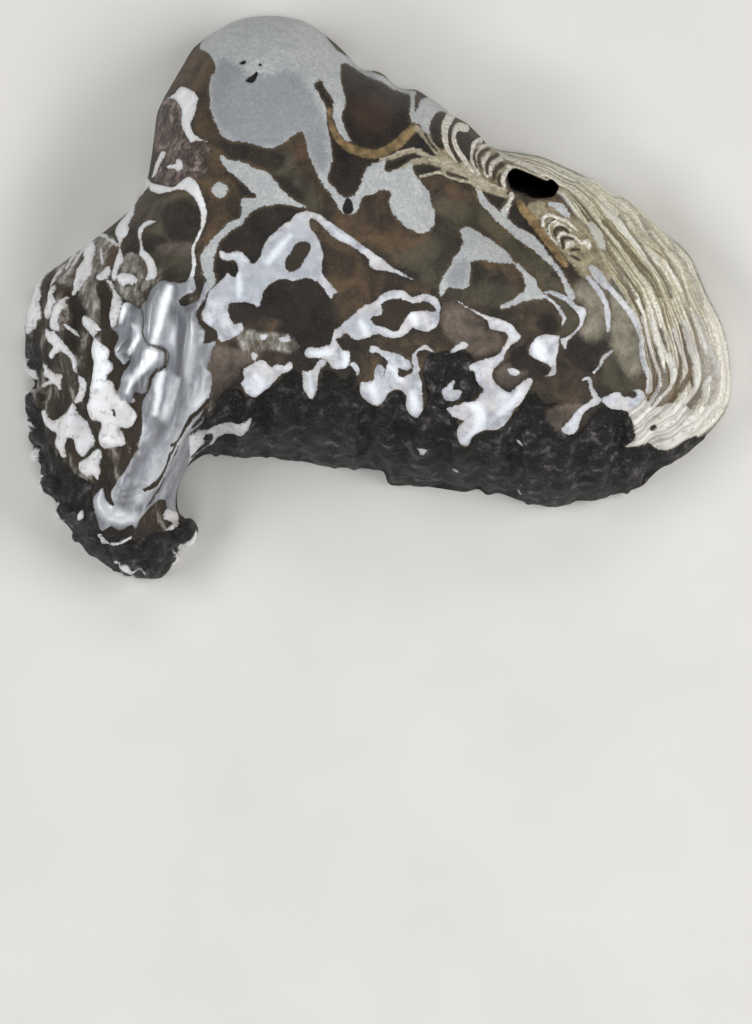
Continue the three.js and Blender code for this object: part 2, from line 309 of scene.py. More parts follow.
def sheet_mesh(ring_depths, depth_start, spacing, height_of, hole):
    """One side of the valve: rings in from the margin, then a lattice. Returns points, faces, rim, hole."""
    directions = inward_directions(OUTLINE)
    count = len(OUTLINE)
    rings = [OUTLINE + directions * (depth_start + depth)[:, None] for depth in ring_depths]
    last = rings[-1]
    clearance = spacing * LATTICE_CLEARANCE
    grid = lattice(spacing)
    if depth_start.any():
        clear = is_inside(grid, last[::2]) & (distance_to(grid, last[::2], closed=True) > clearance)
    else:
        clear = distance_to(grid, COARSE_OUTLINE, closed=True) > ring_depths[-1] + clearance
    grid = grid[clear]
    grid = grid[~is_inside(grid, hole) & (distance_to(grid, hole, closed=True) > clearance)]
    flat = np.vstack([last, hole, grid])
    edges = [(i, (i + 1) % count) for i in range(count)]
    edges += [(count + i, count + (i + 1) % len(hole)) for i in range(len(hole))]
    corners, _, made, *_ = delaunay_2d_cdt([Vector(p) for p in flat.tolist()], edges, [], 0, 1e-7, False)
    corners = np.array([tuple(c) for c in corners])
    made = np.array(made)
    middle = corners[made].mean(axis=1)
    made = made[is_inside(middle, last) & ~is_inside(middle, hole)]
    x1, y1 = (corners[made[:, 1]] - corners[made[:, 0]]).T
    x2, y2 = (corners[made[:, 2]] - corners[made[:, 0]]).T
    backwards = x1 * y2 - x2 * y1 < 0
    made[backwards] = made[backwards][:, ::-1]
    places = np.vstack([*rings[:-1], corners])
    starts = np.arange(len(rings)) * count
    ring = np.arange(count)
    faces = [strip(ring + a, ring + b) for a, b in zip(starts, starts[1:])]
    faces.append(made + starts[-1])
    heights = height_of(places)
    heights[:count] = 0.0
    points = np.column_stack([places, heights])
    return points, np.vstack(faces), ring, starts[-1] + count + np.arange(len(hole))


def vertex_normals(points, faces):
    a, b, c = points[faces[:, 0]], points[faces[:, 1]], points[faces[:, 2]]
    face_normals = np.cross(b - a, c - a)
    normals = np.zeros_like(points)
    for k in range(3):
        for axis in range(3):
            normals[:, axis] += np.bincount(faces[:, k], face_normals[:, axis], len(points))
    return normals / (np.linalg.norm(normals, axis=1, keepdims=True) + 1e-12)


# Marks on the chart. A patch is an outline, and a stroke is a line with its widths from end to end.
PALE_PATCHES = {
    "cap": [
        (199, 46), (207, 52), (213, 59), (216, 71), (211, 79), (210, 100), (214, 118), (221, 134), (230, 140),
        (250, 143), (268, 148), (279, 145), (291, 137), (301, 131), (305, 139), (309, 155), (315, 170),
        (322, 184), (330, 194), (337, 205), (342, 212), (350, 215), (357, 212), (361, 200), (364, 196),
        (362, 192), (356, 195), (348, 198), (341, 196), (333, 187), (327, 179), (330, 168), (332, 158),
        (331, 143), (327, 125), (327, 112), (325, 104), (319, 94), (314, 85), (319, 80), (325, 82), (330, 90),
        (341, 92), (341, 66), (347, 62), (336, 48), (320, 30), (300, 15), (268, 8), (240, 12), (215, 28),
    ],
    "fan_head": [
        (411, 108), (414, 112), (418, 108), (421, 100), (425, 97), (431, 97), (438, 102), (446, 109),
        (449, 113), (441, 110), (436, 113), (432, 120), (430, 128), (431, 137), (426, 133), (421, 126),
        (416, 122), (412, 118),
    ],
    "tongue": [
        (366, 169), (370, 165), (378, 162), (386, 161), (384, 168), (388, 173), (396, 170), (404, 166),
        (411, 163), (413, 171), (417, 178), (424, 186), (429, 192), (431, 202), (435, 212), (434, 224),
        (430, 230), (424, 233), (417, 233), (409, 229), (401, 223), (395, 216), (390, 208), (389, 201),
        (391, 196), (388, 191), (381, 190), (376, 192), (372, 195), (366, 195), (361, 199), (358, 203),
        (355, 196), (358, 190), (361, 184), (363, 177),
    ],
    "fork": [
        (219, 155), (228, 159), (237, 161), (245, 163), (252, 167), (262, 170), (270, 175), (276, 182),
        (283, 190), (292, 198), (300, 203), (307, 208), (298, 206), (288, 205), (277, 204), (265, 206),
        (256, 209), (247, 216), (241, 224), (230, 231), (223, 238), (219, 245), (215, 254), (213, 268),
        (216, 280), (212, 288), (206, 295), (200, 304), (200, 298), (206, 290), (207, 282), (203, 272),
        (200, 259), (204, 249), (215, 236), (228, 223), (239, 218), (241, 210), (241, 199), (255, 199),
        (256, 196), (250, 190), (246, 185), (240, 180), (233, 175), (226, 168),
    ],
    "wing": [
        (460, 229), (464, 227), (468, 226), (473, 229), (479, 232), (484, 236), (492, 240), (499, 245),
        (505, 250), (510, 255), (513, 261), (519, 264), (526, 270), (532, 276), (536, 280), (539, 287),
        (544, 293), (548, 297), (539, 299), (530, 300), (522, 302), (512, 306), (502, 309), (500, 306),
        (506, 303), (512, 300), (518, 295), (524, 291), (526, 286), (525, 280), (522, 273), (517, 267),
        (513, 264), (505, 263), (497, 263), (490, 262), (485, 260), (478, 260), (472, 261), (470, 266),
        (470, 274), (469, 285), (464, 289), (452, 288), (447, 288), (442, 296), (439, 294), (439, 287),
        (442, 279), (446, 271), (451, 264), (454, 258), (458, 253), (462, 246), (463, 240), (461, 234),
    ],
}
PALE_STROKES = {
    "lens_side": ([
        (333, 84), (337, 93), (340, 101), (338, 112), (339, 123), (343, 132), (348, 139),
    ], (17, 13, 11, 9, 7, 7, 4)),
    "hinge_edge": ([
        (338, 55), (350, 61), (362, 70), (374, 75), (384, 79), (393, 86), (403, 90), (414, 93),
    ], (8, 5, 3, 6, 5, 4, 3, 4)),
    "sliver": ([(412, 93), (413, 103), (412, 112), (413, 120)], (4, 4, 4, 3)),
    "long_line": ([
        (478, 188), (481, 196), (486, 204), (493, 210), (499, 216), (506, 223), (514, 230), (523, 236),
        (533, 243), (541, 250), (547, 257), (554, 264), (560, 272), (565, 281), (569, 289), (571, 297),
    ], (4, 6, 7, 8, 8, 8, 9, 11, 11, 9, 7, 5, 4, 4, 6, 8)),
    "branch": ([(503, 216), (505, 209), (509, 203), (512, 196)], (7, 6, 4, 4)),
    "below_hole": ([(551, 204), (560, 208), (568, 216)], (4, 7, 4)),
    "eye_side": ([(590, 226), (597, 236), (602, 248)], (5, 8, 5)),
    "eye_foot": ([(592, 268), (599, 276), (606, 286)], (6, 11, 7)),
}
FLAW_PATCHES = {
    "pit": [(245, 81), (248, 77), (253, 75), (255, 71), (258, 71), (257, 76), (255, 80), (250, 82)],
    "nick": [(239, 62), (242, 60), (247, 60), (243, 64)],
    "speck": [(258, 64), (261, 61), (262, 65)],
}
FLAW_STROKES = {
    "dot": ([(347, 199), (348, 204), (348, 209)], (2, 9, 10)),
}
WHITE_PATCHES = {
    "great_loop": [
        (220, 250), (228, 253), (235, 252), (242, 252), (248, 258), (252, 264), (257, 263), (261, 256),
        (263, 247), (268, 239), (276, 231), (284, 224), (291, 220), (295, 215), (300, 212), (306, 211),
        (313, 212), (320, 215), (328, 221), (337, 227), (347, 234), (355, 240), (363, 246), (371, 251),
        (379, 257), (386, 262), (391, 267), (402, 273), (414, 280), (404, 277), (388, 271), (376, 270),
        (369, 266), (369, 261), (364, 255), (355, 249), (345, 243), (335, 238), (328, 232), (321, 225),
        (314, 218), (309, 220), (310, 228), (316, 234), (320, 244), (323, 255), (322, 264), (322, 273),
        (327, 280), (334, 288), (339, 293), (334, 294), (331, 299), (325, 290), (319, 283), (312, 279),
        (305, 278), (298, 280), (292, 281), (286, 279), (280, 279), (273, 282), (266, 288), (262, 296),
        (259, 307), (253, 304), (245, 302), (236, 302), (230, 303), (228, 309), (230, 318), (235, 325),
        (241, 323), (243, 328), (240, 333), (230, 339), (225, 341), (220, 341), (217, 336), (214, 330),
        (209, 327), (204, 321), (203, 312), (206, 303), (209, 293), (214, 287), (220, 282), (225, 276),
        (228, 272), (232, 277), (236, 277), (238, 271), (238, 266), (235, 261), (229, 260), (221, 258),
    ],
    "ring": [
        (334, 330), (337, 328), (340, 327), (344, 322), (350, 318), (356, 312), (362, 307), (370, 303),
        (377, 300), (380, 296), (386, 292), (393, 290), (401, 290), (406, 293), (411, 297), (418, 296),
        (424, 294), (431, 295), (437, 299), (440, 305), (440, 312), (439, 320), (436, 327), (430, 331),
        (423, 331), (416, 329), (412, 328), (409, 332), (403, 336), (396, 338), (388, 337), (382, 335),
        (376, 334), (370, 337), (365, 339), (358, 340), (352, 337), (347, 333), (340, 337), (336, 338),
        (335, 345), (331, 345),
    ],
    "block": [
        (305, 357), (306, 350), (310, 347), (316, 348), (323, 347), (328, 345), (332, 343), (333, 336),
        (336, 340), (341, 346), (345, 350), (349, 350), (350, 357), (349, 364), (346, 368), (340, 369),
        (334, 368), (331, 366), (328, 361), (322, 358), (315, 357), (310, 358),
    ],
    "tooth": [
        (319, 361), (323, 359), (326, 362), (325, 366), (321, 368), (319, 374), (318, 382), (316, 390),
        (314, 396), (310, 398), (307, 395), (304, 389), (303, 380), (302, 373), (304, 370), (310, 370),
        (315, 368),
    ],
    "crown": [
        (369, 350), (371, 346), (376, 346), (382, 350), (390, 352), (398, 354), (405, 358), (410, 363),
        (411, 368), (407, 370), (402, 369), (399, 368), (398, 374), (402, 378), (407, 376), (412, 373),
        (413, 367), (412, 357), (415, 352), (420, 348), (425, 345), (430, 347), (437, 354), (428, 350),
        (421, 350), (417, 354), (418, 362), (420, 368), (419, 374), (422, 382), (422, 390), (424, 400),
        (424, 407), (421, 413), (416, 416), (411, 413), (407, 408), (406, 402), (406, 395), (403, 391),
        (398, 389), (392, 390), (387, 394), (383, 400), (377, 405), (371, 404), (365, 399), (361, 393),
        (360, 386), (362, 381), (368, 380), (374, 378), (374, 372), (377, 366), (381, 364), (384, 369),
        (383, 376), (386, 368), (388, 361), (384, 357), (378, 353), (372, 353),
    ],
    "chip": [(352, 361), (356, 363), (359, 370), (357, 377), (355, 370), (351, 367)],
    "shell_chip": [
        (442, 389), (446, 386), (450, 382), (454, 380), (455, 383), (452, 387), (456, 389), (461, 390),
        (460, 396), (456, 400), (451, 401), (446, 400), (443, 396),
    ],
    "hook_chip": [
        (450, 354), (452, 349), (457, 345), (462, 342), (467, 343), (469, 346), (465, 349), (458, 350),
    ],
    "zigzag": [
        (456, 301), (460, 302), (466, 306), (473, 310), (480, 313), (485, 315), (492, 317), (500, 319),
        (508, 322), (514, 326), (516, 331), (520, 335), (521, 338), (517, 341), (512, 344), (508, 349),
        (505, 354), (503, 360), (499, 364), (494, 368), (492, 373), (493, 378), (496, 384), (500, 388),
        (505, 391), (510, 391), (516, 387), (521, 383), (527, 379), (531, 378), (532, 382), (529, 388),
        (527, 393), (521, 402), (514, 409), (511, 415), (508, 420), (503, 425), (498, 427), (490, 428),
        (482, 430), (474, 434), (471, 438), (470, 443), (466, 444), (462, 441), (459, 436), (457, 430),
        (459, 424), (463, 419), (459, 417), (452, 415), (447, 410), (447, 408), (454, 406), (460, 404),
        (464, 401), (470, 403), (476, 400), (480, 394), (484, 391), (482, 387), (478, 384), (476, 378),
        (475, 372), (470, 371), (469, 366), (472, 364), (478, 361), (486, 359), (494, 357), (499, 354),
        (503, 348), (506, 342), (508, 336), (506, 333), (500, 331), (493, 330), (489, 327), (487, 321),
        (483, 317), (476, 314), (470, 309), (463, 305),
    ],
    "shield": [
        (559, 331), (559, 335), (555, 335), (548, 335), (540, 336), (534, 340), (530, 346), (529, 353),
        (532, 357), (538, 360), (545, 363), (550, 366), (551, 370), (549, 373), (545, 376), (543, 378),
        (548, 376), (554, 375), (556, 370), (556, 360), (558, 350), (559, 342),
    ],
    "hook": [
        (543, 291), (550, 290), (556, 292), (562, 294), (568, 297), (571, 300), (576, 304), (582, 307),
        (587, 311), (586, 317), (584, 322), (581, 328), (576, 333), (572, 337), (568, 341), (566, 346),
        (565, 350), (563, 347), (561, 342), (561, 339), (565, 338), (569, 335), (574, 332), (578, 327),
        (580, 322), (578, 315), (575, 310), (570, 306), (564, 301), (556, 297), (550, 294), (546, 293),
    ],
    "claw": [
        (596, 396), (600, 400), (596, 405), (590, 408), (584, 413), (580, 420), (578, 428), (574, 432),
        (566, 433), (561, 430), (562, 426), (569, 420), (575, 412), (583, 406), (589, 401),
    ],
    "rear_foot": [
        (600, 399), (606, 396), (613, 392), (619, 393), (623, 397), (628, 396), (631, 391), (638, 389),
        (643, 394), (648, 402), (652, 408), (660, 406), (668, 403), (680, 402), (688, 408), (697, 412),
        (704, 404), (711, 409), (700, 421), (690, 432), (683, 440), (675, 444), (667, 446), (657, 448),
        (648, 443), (640, 441), (631, 446), (627, 446), (633, 438), (632, 428), (630, 418), (627, 412),
        (620, 410), (610, 409), (604, 405),
    ],
    "small_1": [(258, 334), (262, 335), (268, 334), (266, 339), (262, 340)],
    "small_2": [(278, 339), (282, 337), (288, 335), (290, 340), (284, 342)],
    "small_3": [(253, 352), (257, 354), (256, 360), (252, 359)],
    "belly_patch": [
        (243, 372), (247, 367), (253, 364), (258, 361), (265, 361), (271, 367), (277, 364), (284, 366),
        (290, 361), (293, 364), (291, 370), (284, 373), (277, 378), (270, 386), (263, 392), (256, 398),
        (249, 395), (244, 388), (241, 383), (245, 378),
    ],
    "speck_1": [(417, 444), (427, 446), (423, 451)],
    "speck_2": [(507, 371), (511, 368), (516, 369), (520, 373), (515, 376)],
    "speck_3": [(452, 467), (457, 467), (460, 471), (455, 470)],
    "speck_4": [(516, 441), (522, 441), (525, 444), (518, 444)],
    "speck_5": [(516, 491), (520, 491), (524, 495), (518, 494)],
    "beak_hook": [
        (163, 100), (170, 97), (176, 94), (180, 89), (184, 87), (190, 90), (196, 94), (199, 99), (197, 108),
        (196, 114), (193, 120), (192, 127), (194, 133), (198, 138), (205, 141), (212, 143), (197, 141),
        (192, 143), (190, 140), (186, 133), (183, 127), (182, 120), (183, 112), (181, 106), (177, 101),
        (173, 99), (168, 99),
    ],
    "beak_spot": [
        (167, 168), (170, 165), (176, 164), (177, 160), (180, 159), (183, 163), (182, 169), (178, 171),
        (174, 168), (170, 169),
    ],
    "edge_strip": [
        (163, 151), (167, 154), (163, 161), (159, 169), (155, 177), (152, 177), (156, 164), (160, 156),
    ],
    "arch": [
        (147, 177), (152, 183), (158, 185), (165, 186), (173, 187), (179, 184), (182, 181), (186, 178),
        (191, 178), (196, 182), (199, 187), (202, 195), (205, 203), (207, 212), (206, 221), (203, 229),
        (199, 238), (195, 246), (195, 256), (196, 264), (195, 272), (192, 278), (186, 282), (190, 275),
        (192, 266), (192, 256), (192, 248), (196, 238), (200, 229), (201, 220), (200, 210), (196, 201),
        (189, 193), (183, 190), (175, 190), (168, 192), (162, 194), (155, 193), (150, 190),
    ],
    "edge_ribbon": [
        (147, 180), (149, 186), (143, 193), (138, 200), (135, 207), (134, 214), (131, 220), (128, 226),
        (130, 230), (126, 236), (122, 241), (121, 248), (122, 254), (124, 260), (120, 266), (117, 272),
        (117, 278), (113, 281), (112, 275), (113, 268), (115, 260), (118, 253), (119, 246), (119, 240),
        (116, 236), (115, 230), (118, 224), (124, 217), (130, 209), (137, 199), (143, 189),
    ],
    "swan": [
        (157, 221), (150, 224), (144, 228), (141, 236), (142, 244), (144, 250), (149, 254), (153, 260),
        (156, 268), (157, 276), (152, 280), (145, 280), (147, 273), (146, 264), (143, 258), (139, 255),
        (140, 248), (139, 240), (138, 232), (141, 226), (147, 221),
    ],
    "pad": [
        (117, 281), (117, 276), (121, 273), (128, 273), (133, 275), (137, 280), (134, 285), (128, 284),
        (122, 286),
    ],
    "drop": [(105, 268), (109, 266), (111, 270), (110, 277), (107, 282), (102, 283), (100, 279), (102, 273)],
    "outer_strip": [
        (56, 268), (48, 271), (42, 277), (38, 284), (35, 294), (31, 303), (28, 313), (28, 321), (30, 328),
        (29, 335), (33, 333), (36, 328), (37, 322), (40, 319), (41, 311), (39, 305), (41, 296), (42, 287),
        (43, 280), (48, 274),
    ],
    "flame": [
        (52, 287), (56, 285), (58, 289), (60, 295), (59, 300), (62, 303), (60, 306), (56, 308), (53, 312),
        (50, 316), (47, 319), (45, 317), (44, 312), (45, 308), (47, 304), (49, 299), (50, 293),
    ],
    "boot": [
        (70, 297), (68, 303), (69, 308), (66, 312), (64, 318), (62, 322), (61, 324), (64, 328), (65, 331),
        (62, 333), (58, 331), (53, 330), (50, 327), (50, 322), (51, 318), (54, 313), (58, 309), (62, 305),
        (66, 300),
    ],
    "long_arm": [
        (46, 328), (50, 331), (55, 332), (60, 336), (65, 341), (70, 346), (75, 351), (79, 357), (81, 364),
        (81, 372), (78, 366), (76, 360), (72, 355), (68, 353), (62, 351), (58, 352), (55, 355), (52, 359),
        (50, 357), (49, 353), (51, 350), (53, 346), (50, 343), (47, 340), (45, 335),
    ],
    "hinge_side": [
        (88, 243), (93, 241), (95, 246), (95, 252), (93, 258), (92, 263), (92, 270), (91, 276), (87, 279),
        (84, 281), (81, 284), (80, 289), (76, 293), (73, 297), (72, 293), (74, 288), (73, 283), (75, 276),
        (76, 270), (79, 266), (81, 262), (84, 258), (83, 254), (85, 248),
    ],
    "slab": [
        (82, 316), (88, 317), (94, 321), (100, 325), (104, 328), (105, 331), (101, 334), (97, 338), (94, 337),
        (90, 333), (85, 327), (82, 321),
    ],
    "column": [
        (97, 340), (100, 338), (103, 341), (105, 345), (109, 347), (111, 352), (110, 357), (109, 360),
        (113, 362), (114, 367), (112, 372), (109, 376), (108, 379), (112, 381), (116, 385), (117, 392),
        (124, 397), (130, 398), (136, 397), (137, 400), (134, 403), (128, 402), (131, 405), (136, 409),
        (139, 414), (136, 421), (130, 426), (125, 427), (120, 427), (122, 431), (126, 436), (128, 441),
        (122, 445), (112, 447), (107, 448), (104, 443), (103, 437), (105, 431), (107, 425), (105, 420),
        (97, 418), (94, 412), (93, 406), (95, 398), (96, 390), (97, 378), (98, 370), (98, 363), (96, 357),
        (94, 351), (95, 345),
    ],
    "leaf": [
        (109, 281), (112, 282), (114, 288), (117, 293), (120, 298), (123, 302), (124, 307), (122, 313),
        (120, 318), (117, 323), (113, 328), (111, 322), (111, 313), (112, 304), (113, 296), (112, 289),
    ],
    "claws": [
        (79, 400), (81, 404), (83, 411), (86, 418), (89, 422), (91, 427), (93, 433), (96, 439), (95, 445),
        (91, 448), (88, 450), (86, 454), (81, 456), (78, 452), (77, 447), (78, 441), (76, 438), (71, 438),
        (69, 443), (67, 449), (67, 455), (64, 458), (61, 455), (59, 450), (57, 447), (56, 442), (58, 436),
        (57, 432), (53, 431), (50, 429), (47, 426), (44, 421), (43, 416), (42, 411), (45, 410), (48, 415),
        (51, 419), (56, 420), (60, 418), (64, 415), (69, 411), (73, 406), (76, 402),
    ],
    "fist": [
        (99, 448), (102, 451), (102, 457), (100, 463), (99, 466), (101, 471), (99, 476), (97, 480), (94, 475),
        (89, 476), (84, 475), (80, 471), (79, 466), (81, 461), (86, 458), (90, 455), (94, 451),
    ],
    "step": [
        (43, 364), (46, 363), (48, 367), (52, 371), (57, 374), (62, 374), (64, 377), (62, 381), (62, 388),
        (60, 391), (58, 386), (52, 384), (47, 386), (44, 388), (43, 384), (49, 381), (50, 379), (46, 377),
        (44, 374), (45, 370),
    ],
    "edge_tooth": [
        (27, 358), (31, 362), (33, 368), (37, 373), (39, 378), (35, 379), (31, 376), (28, 370), (25, 363),
    ],
    "finger": [
        (82, 374), (86, 377), (90, 380), (91, 390), (89, 398), (84, 400), (80, 399), (82, 393), (84, 386),
    ],
    "arm": [
        (188, 441), (197, 433), (205, 428), (213, 424), (222, 427), (232, 424), (242, 420), (250, 416),
        (252, 421), (247, 427), (240, 432), (230, 436), (218, 439), (211, 443), (205, 448), (198, 454),
        (190, 461), (184, 468),
    ],
    "toe": [(112, 559), (122, 562), (130, 561), (136, 567), (148, 567), (142, 570), (134, 570), (122, 566)],
    "toe_tip": [(120, 569), (126, 572), (132, 573), (138, 578), (131, 577), (125, 574)],
    "knuckle": [
        (163, 518), (164, 512), (168, 507), (173, 508), (177, 514), (178, 520), (176, 526), (172, 530),
        (165, 530), (172, 524), (168, 521),
    ],
    "bead_1": [(43, 476), (41, 482), (42, 489), (48, 493), (48, 488), (45, 482)],
    "bead_2": [(59, 502), (57, 510), (58, 518), (64, 521), (61, 514), (63, 507), (61, 502)],
    "bead_3": [(37, 449), (34, 453), (34, 458), (38, 462), (41, 456), (40, 450)],
    "bead_4": [(35, 389), (29, 392), (26, 398), (28, 405), (31, 409), (29, 402), (31, 396), (36, 393)],
    "bead_5": [(189, 536), (183, 539), (179, 546), (185, 545), (190, 540)],
    "bead_6": [(170, 551), (173, 555), (172, 561), (170, 557)],
    "bead_7": [(30, 419), (34, 423), (35, 429), (32, 426)],
    "pebble": [(80, 510), (83, 510), (86, 514), (83, 519), (80, 517)],
}
WHITE_STROKES = {
    "bead_1": ([(36, 449), (37, 456), (36, 462)], (3, 6, 3)),
    "bead_2": ([(43, 476), (45, 484), (48, 490)], (4, 7, 3)),
    "bead_3": ([(58, 504), (60, 512), (63, 519)], (3, 5, 3)),
    "bead_4": ([(188, 532), (183, 540), (178, 546)], (3, 7, 3)),
    "bead_5": ([(171, 550), (172, 556), (170, 562)], (2, 4, 3)),
    "bead_6": ([(30, 418), (30, 425), (31, 432)], (2, 4, 2)),
    "inner_line": ([(546, 296), (553, 302), (560, 310), (564, 318), (562, 325)], (2, 2, 2.5, 2.5, 1.5)),
    "thin_arc": ([(611, 351), (606, 355), (601, 360), (599, 366), (593, 372)], (2, 2.5, 2.5, 2, 2)),
    "claw_wrist": ([(583, 380), (589, 379), (590, 387), (594, 396)], (2, 3, 3, 5)),
    "lobe_arc": ([(98, 536), (104, 542), (112, 544), (121, 543), (131, 538)], (2.5, 2, 2, 2, 1.5)),
    "edge_arc_1": ([(100, 235), (105, 236), (108, 239)], (2, 2.5, 2)),
    "edge_arc_2": ([(109, 240), (113, 241), (117, 245)], (2, 3, 2)),
    "streak_1": ([(85, 247), (79, 255), (73, 265)], (2, 2, 1.5)),
    "streak_2": ([(80, 249), (73, 257), (66, 269)], (1.5, 2, 1.5)),
    "streak_3": ([(62, 269), (56, 276), (51, 285)], (1.5, 2, 1.5)),
    "side_arc": ([(29, 323), (26, 329), (26, 336)], (2, 2, 2)),
    "cut": ([(69, 327), (74, 331), (79, 336)], (1.5, 2.5, 1.5)),
    "stem_line": ([(101, 248), (101, 256), (102, 264)], (1.5, 2, 1.5)),
    "rear_1": ([(588, 277), (597, 288), (605, 301), (608, 315), (608, 330)], (3, 5, 5, 5, 3)),
    "rear_2": ([
        (606, 284), (616, 295), (626, 308), (634, 321), (639, 336), (640, 352), (643, 366), (648, 378),
        (647, 390),
    ], (4, 5, 5, 5, 4, 3, 4, 6, 8)),
    "rear_3": ([
        (640, 318), (646, 334), (650, 350), (655, 364), (660, 378), (657, 390), (650, 402),
    ], (3, 3, 3, 3, 3, 3, 3)),
    "rear_4": ([
        (652, 322), (659, 338), (664, 352), (671, 366), (671, 380), (666, 391), (656, 402), (650, 410),
    ], (3, 3, 4, 6, 4, 4, 3, 3)),
    "rear_5": ([(672, 330), (680, 352), (686, 368), (683, 378)], (3, 3, 3, 2)),
    "rear_6": ([(682, 322), (689, 345), (695, 362), (697, 378), (690, 392), (680, 402)], (3, 4, 6, 7, 6, 4)),
    "rear_7": ([(694, 318), (703, 345), (713, 368), (704, 385), (703, 400)], (4, 5, 4, 3, 3)),
}
NACRE_PATCHES = {
    "main_column": [
        (147, 301), (150, 294), (153, 289), (158, 285), (164, 283), (172, 283), (180, 283), (187, 281),
        (193, 276), (195, 284), (195, 291), (190, 294), (184, 296), (179, 300), (179, 304), (183, 307),
        (190, 305), (197, 301), (203, 296), (206, 297), (202, 305), (198, 314), (199, 320), (202, 326),
        (205, 331), (204, 338), (208, 343), (214, 341), (216, 342), (213, 348), (211, 354), (209, 362),
        (207, 369), (211, 373), (212, 380), (211, 388), (210, 394), (207, 400), (203, 408), (203, 421),
        (196, 430), (190, 437), (189, 448), (188, 462), (184, 472), (180, 480), (177, 488), (175, 497),
        (175, 505), (176, 512), (170, 512), (166, 505), (165, 500), (160, 499), (154, 503), (149, 508),
        (144, 514), (140, 518), (138, 524), (136, 529), (132, 525), (127, 527), (121, 530), (115, 528),
        (111, 526), (106, 529), (101, 531), (99, 524), (97, 518), (95, 512), (94, 505), (94, 498), (98, 492),
        (103, 488), (105, 492), (106, 498), (109, 503), (114, 504), (112, 497), (113, 490), (118, 483),
        (121, 476), (125, 470), (128, 464), (131, 460), (134, 455), (138, 450), (140, 440), (142, 430),
        (143, 418), (143, 405), (145, 397), (149, 391), (152, 381), (156, 374), (162, 370), (167, 366),
        (168, 357), (167, 351), (157, 346), (150, 342), (146, 334), (145, 324), (143, 314), (141, 307),
        (144, 303),
    ],
    "lumps": [
        (124, 307), (128, 302), (133, 305), (138, 308), (141, 311), (143, 320), (144, 330), (146, 338),
        (151, 344), (158, 348), (164, 350), (166, 357), (164, 365), (158, 369), (152, 375), (149, 382),
        (148, 390), (143, 394), (137, 393), (134, 396), (136, 400), (132, 403), (127, 402), (121, 399),
        (119, 393), (121, 386), (122, 378), (125, 371), (129, 366), (132, 360), (128, 361), (124, 365),
        (121, 361), (117, 356), (115, 350), (116, 344), (119, 338), (117, 332), (113, 329), (117, 325),
        (121, 317), (123, 311),
    ],
}
NACRE_STROKES = {
    "hook_side": ([(207, 285), (205, 292), (201, 299)], (5, 5, 3)),
}
ISLAND_PATCHES = {
    "pill": [
        (297, 243), (303, 241), (309, 242), (311, 246), (310, 252), (307, 256), (303, 262), (300, 268),
        (296, 271), (291, 272), (287, 270), (285, 265), (286, 259), (291, 252), (294, 247),
    ],
    "ring_hole": [
        (381, 303), (386, 300), (394, 299), (402, 299), (407, 301), (413, 303), (420, 302), (428, 302),
        (433, 305), (437, 309), (434, 312), (427, 311), (420, 311), (413, 312), (408, 315), (405, 321),
        (402, 326), (399, 330), (394, 331), (388, 329), (382, 327), (376, 326), (372, 323), (370, 319),
        (374, 316), (380, 315), (382, 310),
    ],
    "bar": [
        (100, 289), (103, 286), (107, 286), (110, 289), (112, 295), (111, 301), (110, 308), (111, 315),
        (112, 322), (112, 328), (116, 332), (118, 338), (117, 343), (115, 348), (115, 354), (117, 359),
        (120, 361), (123, 365), (129, 361), (131, 359), (128, 366), (124, 371), (122, 377), (120, 384),
        (119, 390), (117, 391), (115, 388), (115, 381), (110, 379), (109, 375), (113, 371), (114, 366),
        (112, 362), (110, 359), (111, 354), (111, 349), (107, 345), (105, 340), (105, 335), (106, 330),
        (104, 325), (104, 318), (104, 308), (103, 300), (101, 295),
    ],
    "lower_bar": [
        (134, 395), (138, 392), (144, 394), (143, 398), (143, 404), (142, 412), (143, 420), (142, 428),
        (139, 436), (138, 443), (136, 450), (133, 455), (131, 452), (132, 445), (130, 440), (127, 436),
        (124, 431), (120, 428), (126, 427), (131, 425), (136, 421), (139, 415), (138, 411), (134, 407),
        (130, 404), (134, 403), (137, 400),
    ],
    "hollow_mark": [
        (90, 421), (95, 419), (102, 419), (107, 422), (106, 428), (103, 433), (99, 438), (95, 434), (92, 428),
    ],
    "oval": [(211, 430), (213, 434), (210, 440), (205, 440), (203, 436), (206, 431)],
    "dark_hook": [
        (204, 300), (200, 306), (197, 314), (199, 321), (202, 327), (205, 331), (205, 338), (203, 344),
        (208, 342), (214, 340), (218, 338), (217, 332), (212, 327), (207, 325), (203, 321), (201, 315),
        (203, 308), (205, 303),
    ],
    "claw_gap": [(71, 438), (76, 439), (77, 445), (75, 450), (69, 453), (67, 449), (69, 444)],
    "foot_spot": [(651, 426), (655, 424), (657, 427), (654, 432), (650, 430)],
    "foot_dot": [(628, 392), (632, 391), (635, 395), (632, 398), (628, 397)],
}
ISLAND_STROKES = {
    "rib_1": ([(208, 399), (200, 408), (190, 417), (182, 426), (174, 435), (166, 437)], (3, 4, 4, 4, 3, 3)),
    "rib_2": ([(206, 409), (200, 418), (193, 427)], (3, 3, 3.5)),
    "rib_3": ([(171, 439), (164, 448), (160, 458), (155, 468), (149, 478), (142, 488)], (3, 3.5, 3, 4, 6, 4)),
    "rib_4": ([(207, 441), (199, 448), (191, 456)], (3, 3.5, 2.5)),
    "rib_5": ([(205, 449), (196, 456), (188, 465)], (1.5, 2, 1)),
    "nick": ([(107, 489), (108, 496), (113, 503)], (5, 5, 3)),
    "slit": ([(116, 409), (117, 415)], (2, 2)),
    "rib_6": ([(160, 476), (155, 488), (150, 498), (144, 508)], (1, 1.5, 1.5, 1)),
    "rib_7": ([(165, 460), (171, 452), (176, 442)], (1, 1.5, 1)),
}
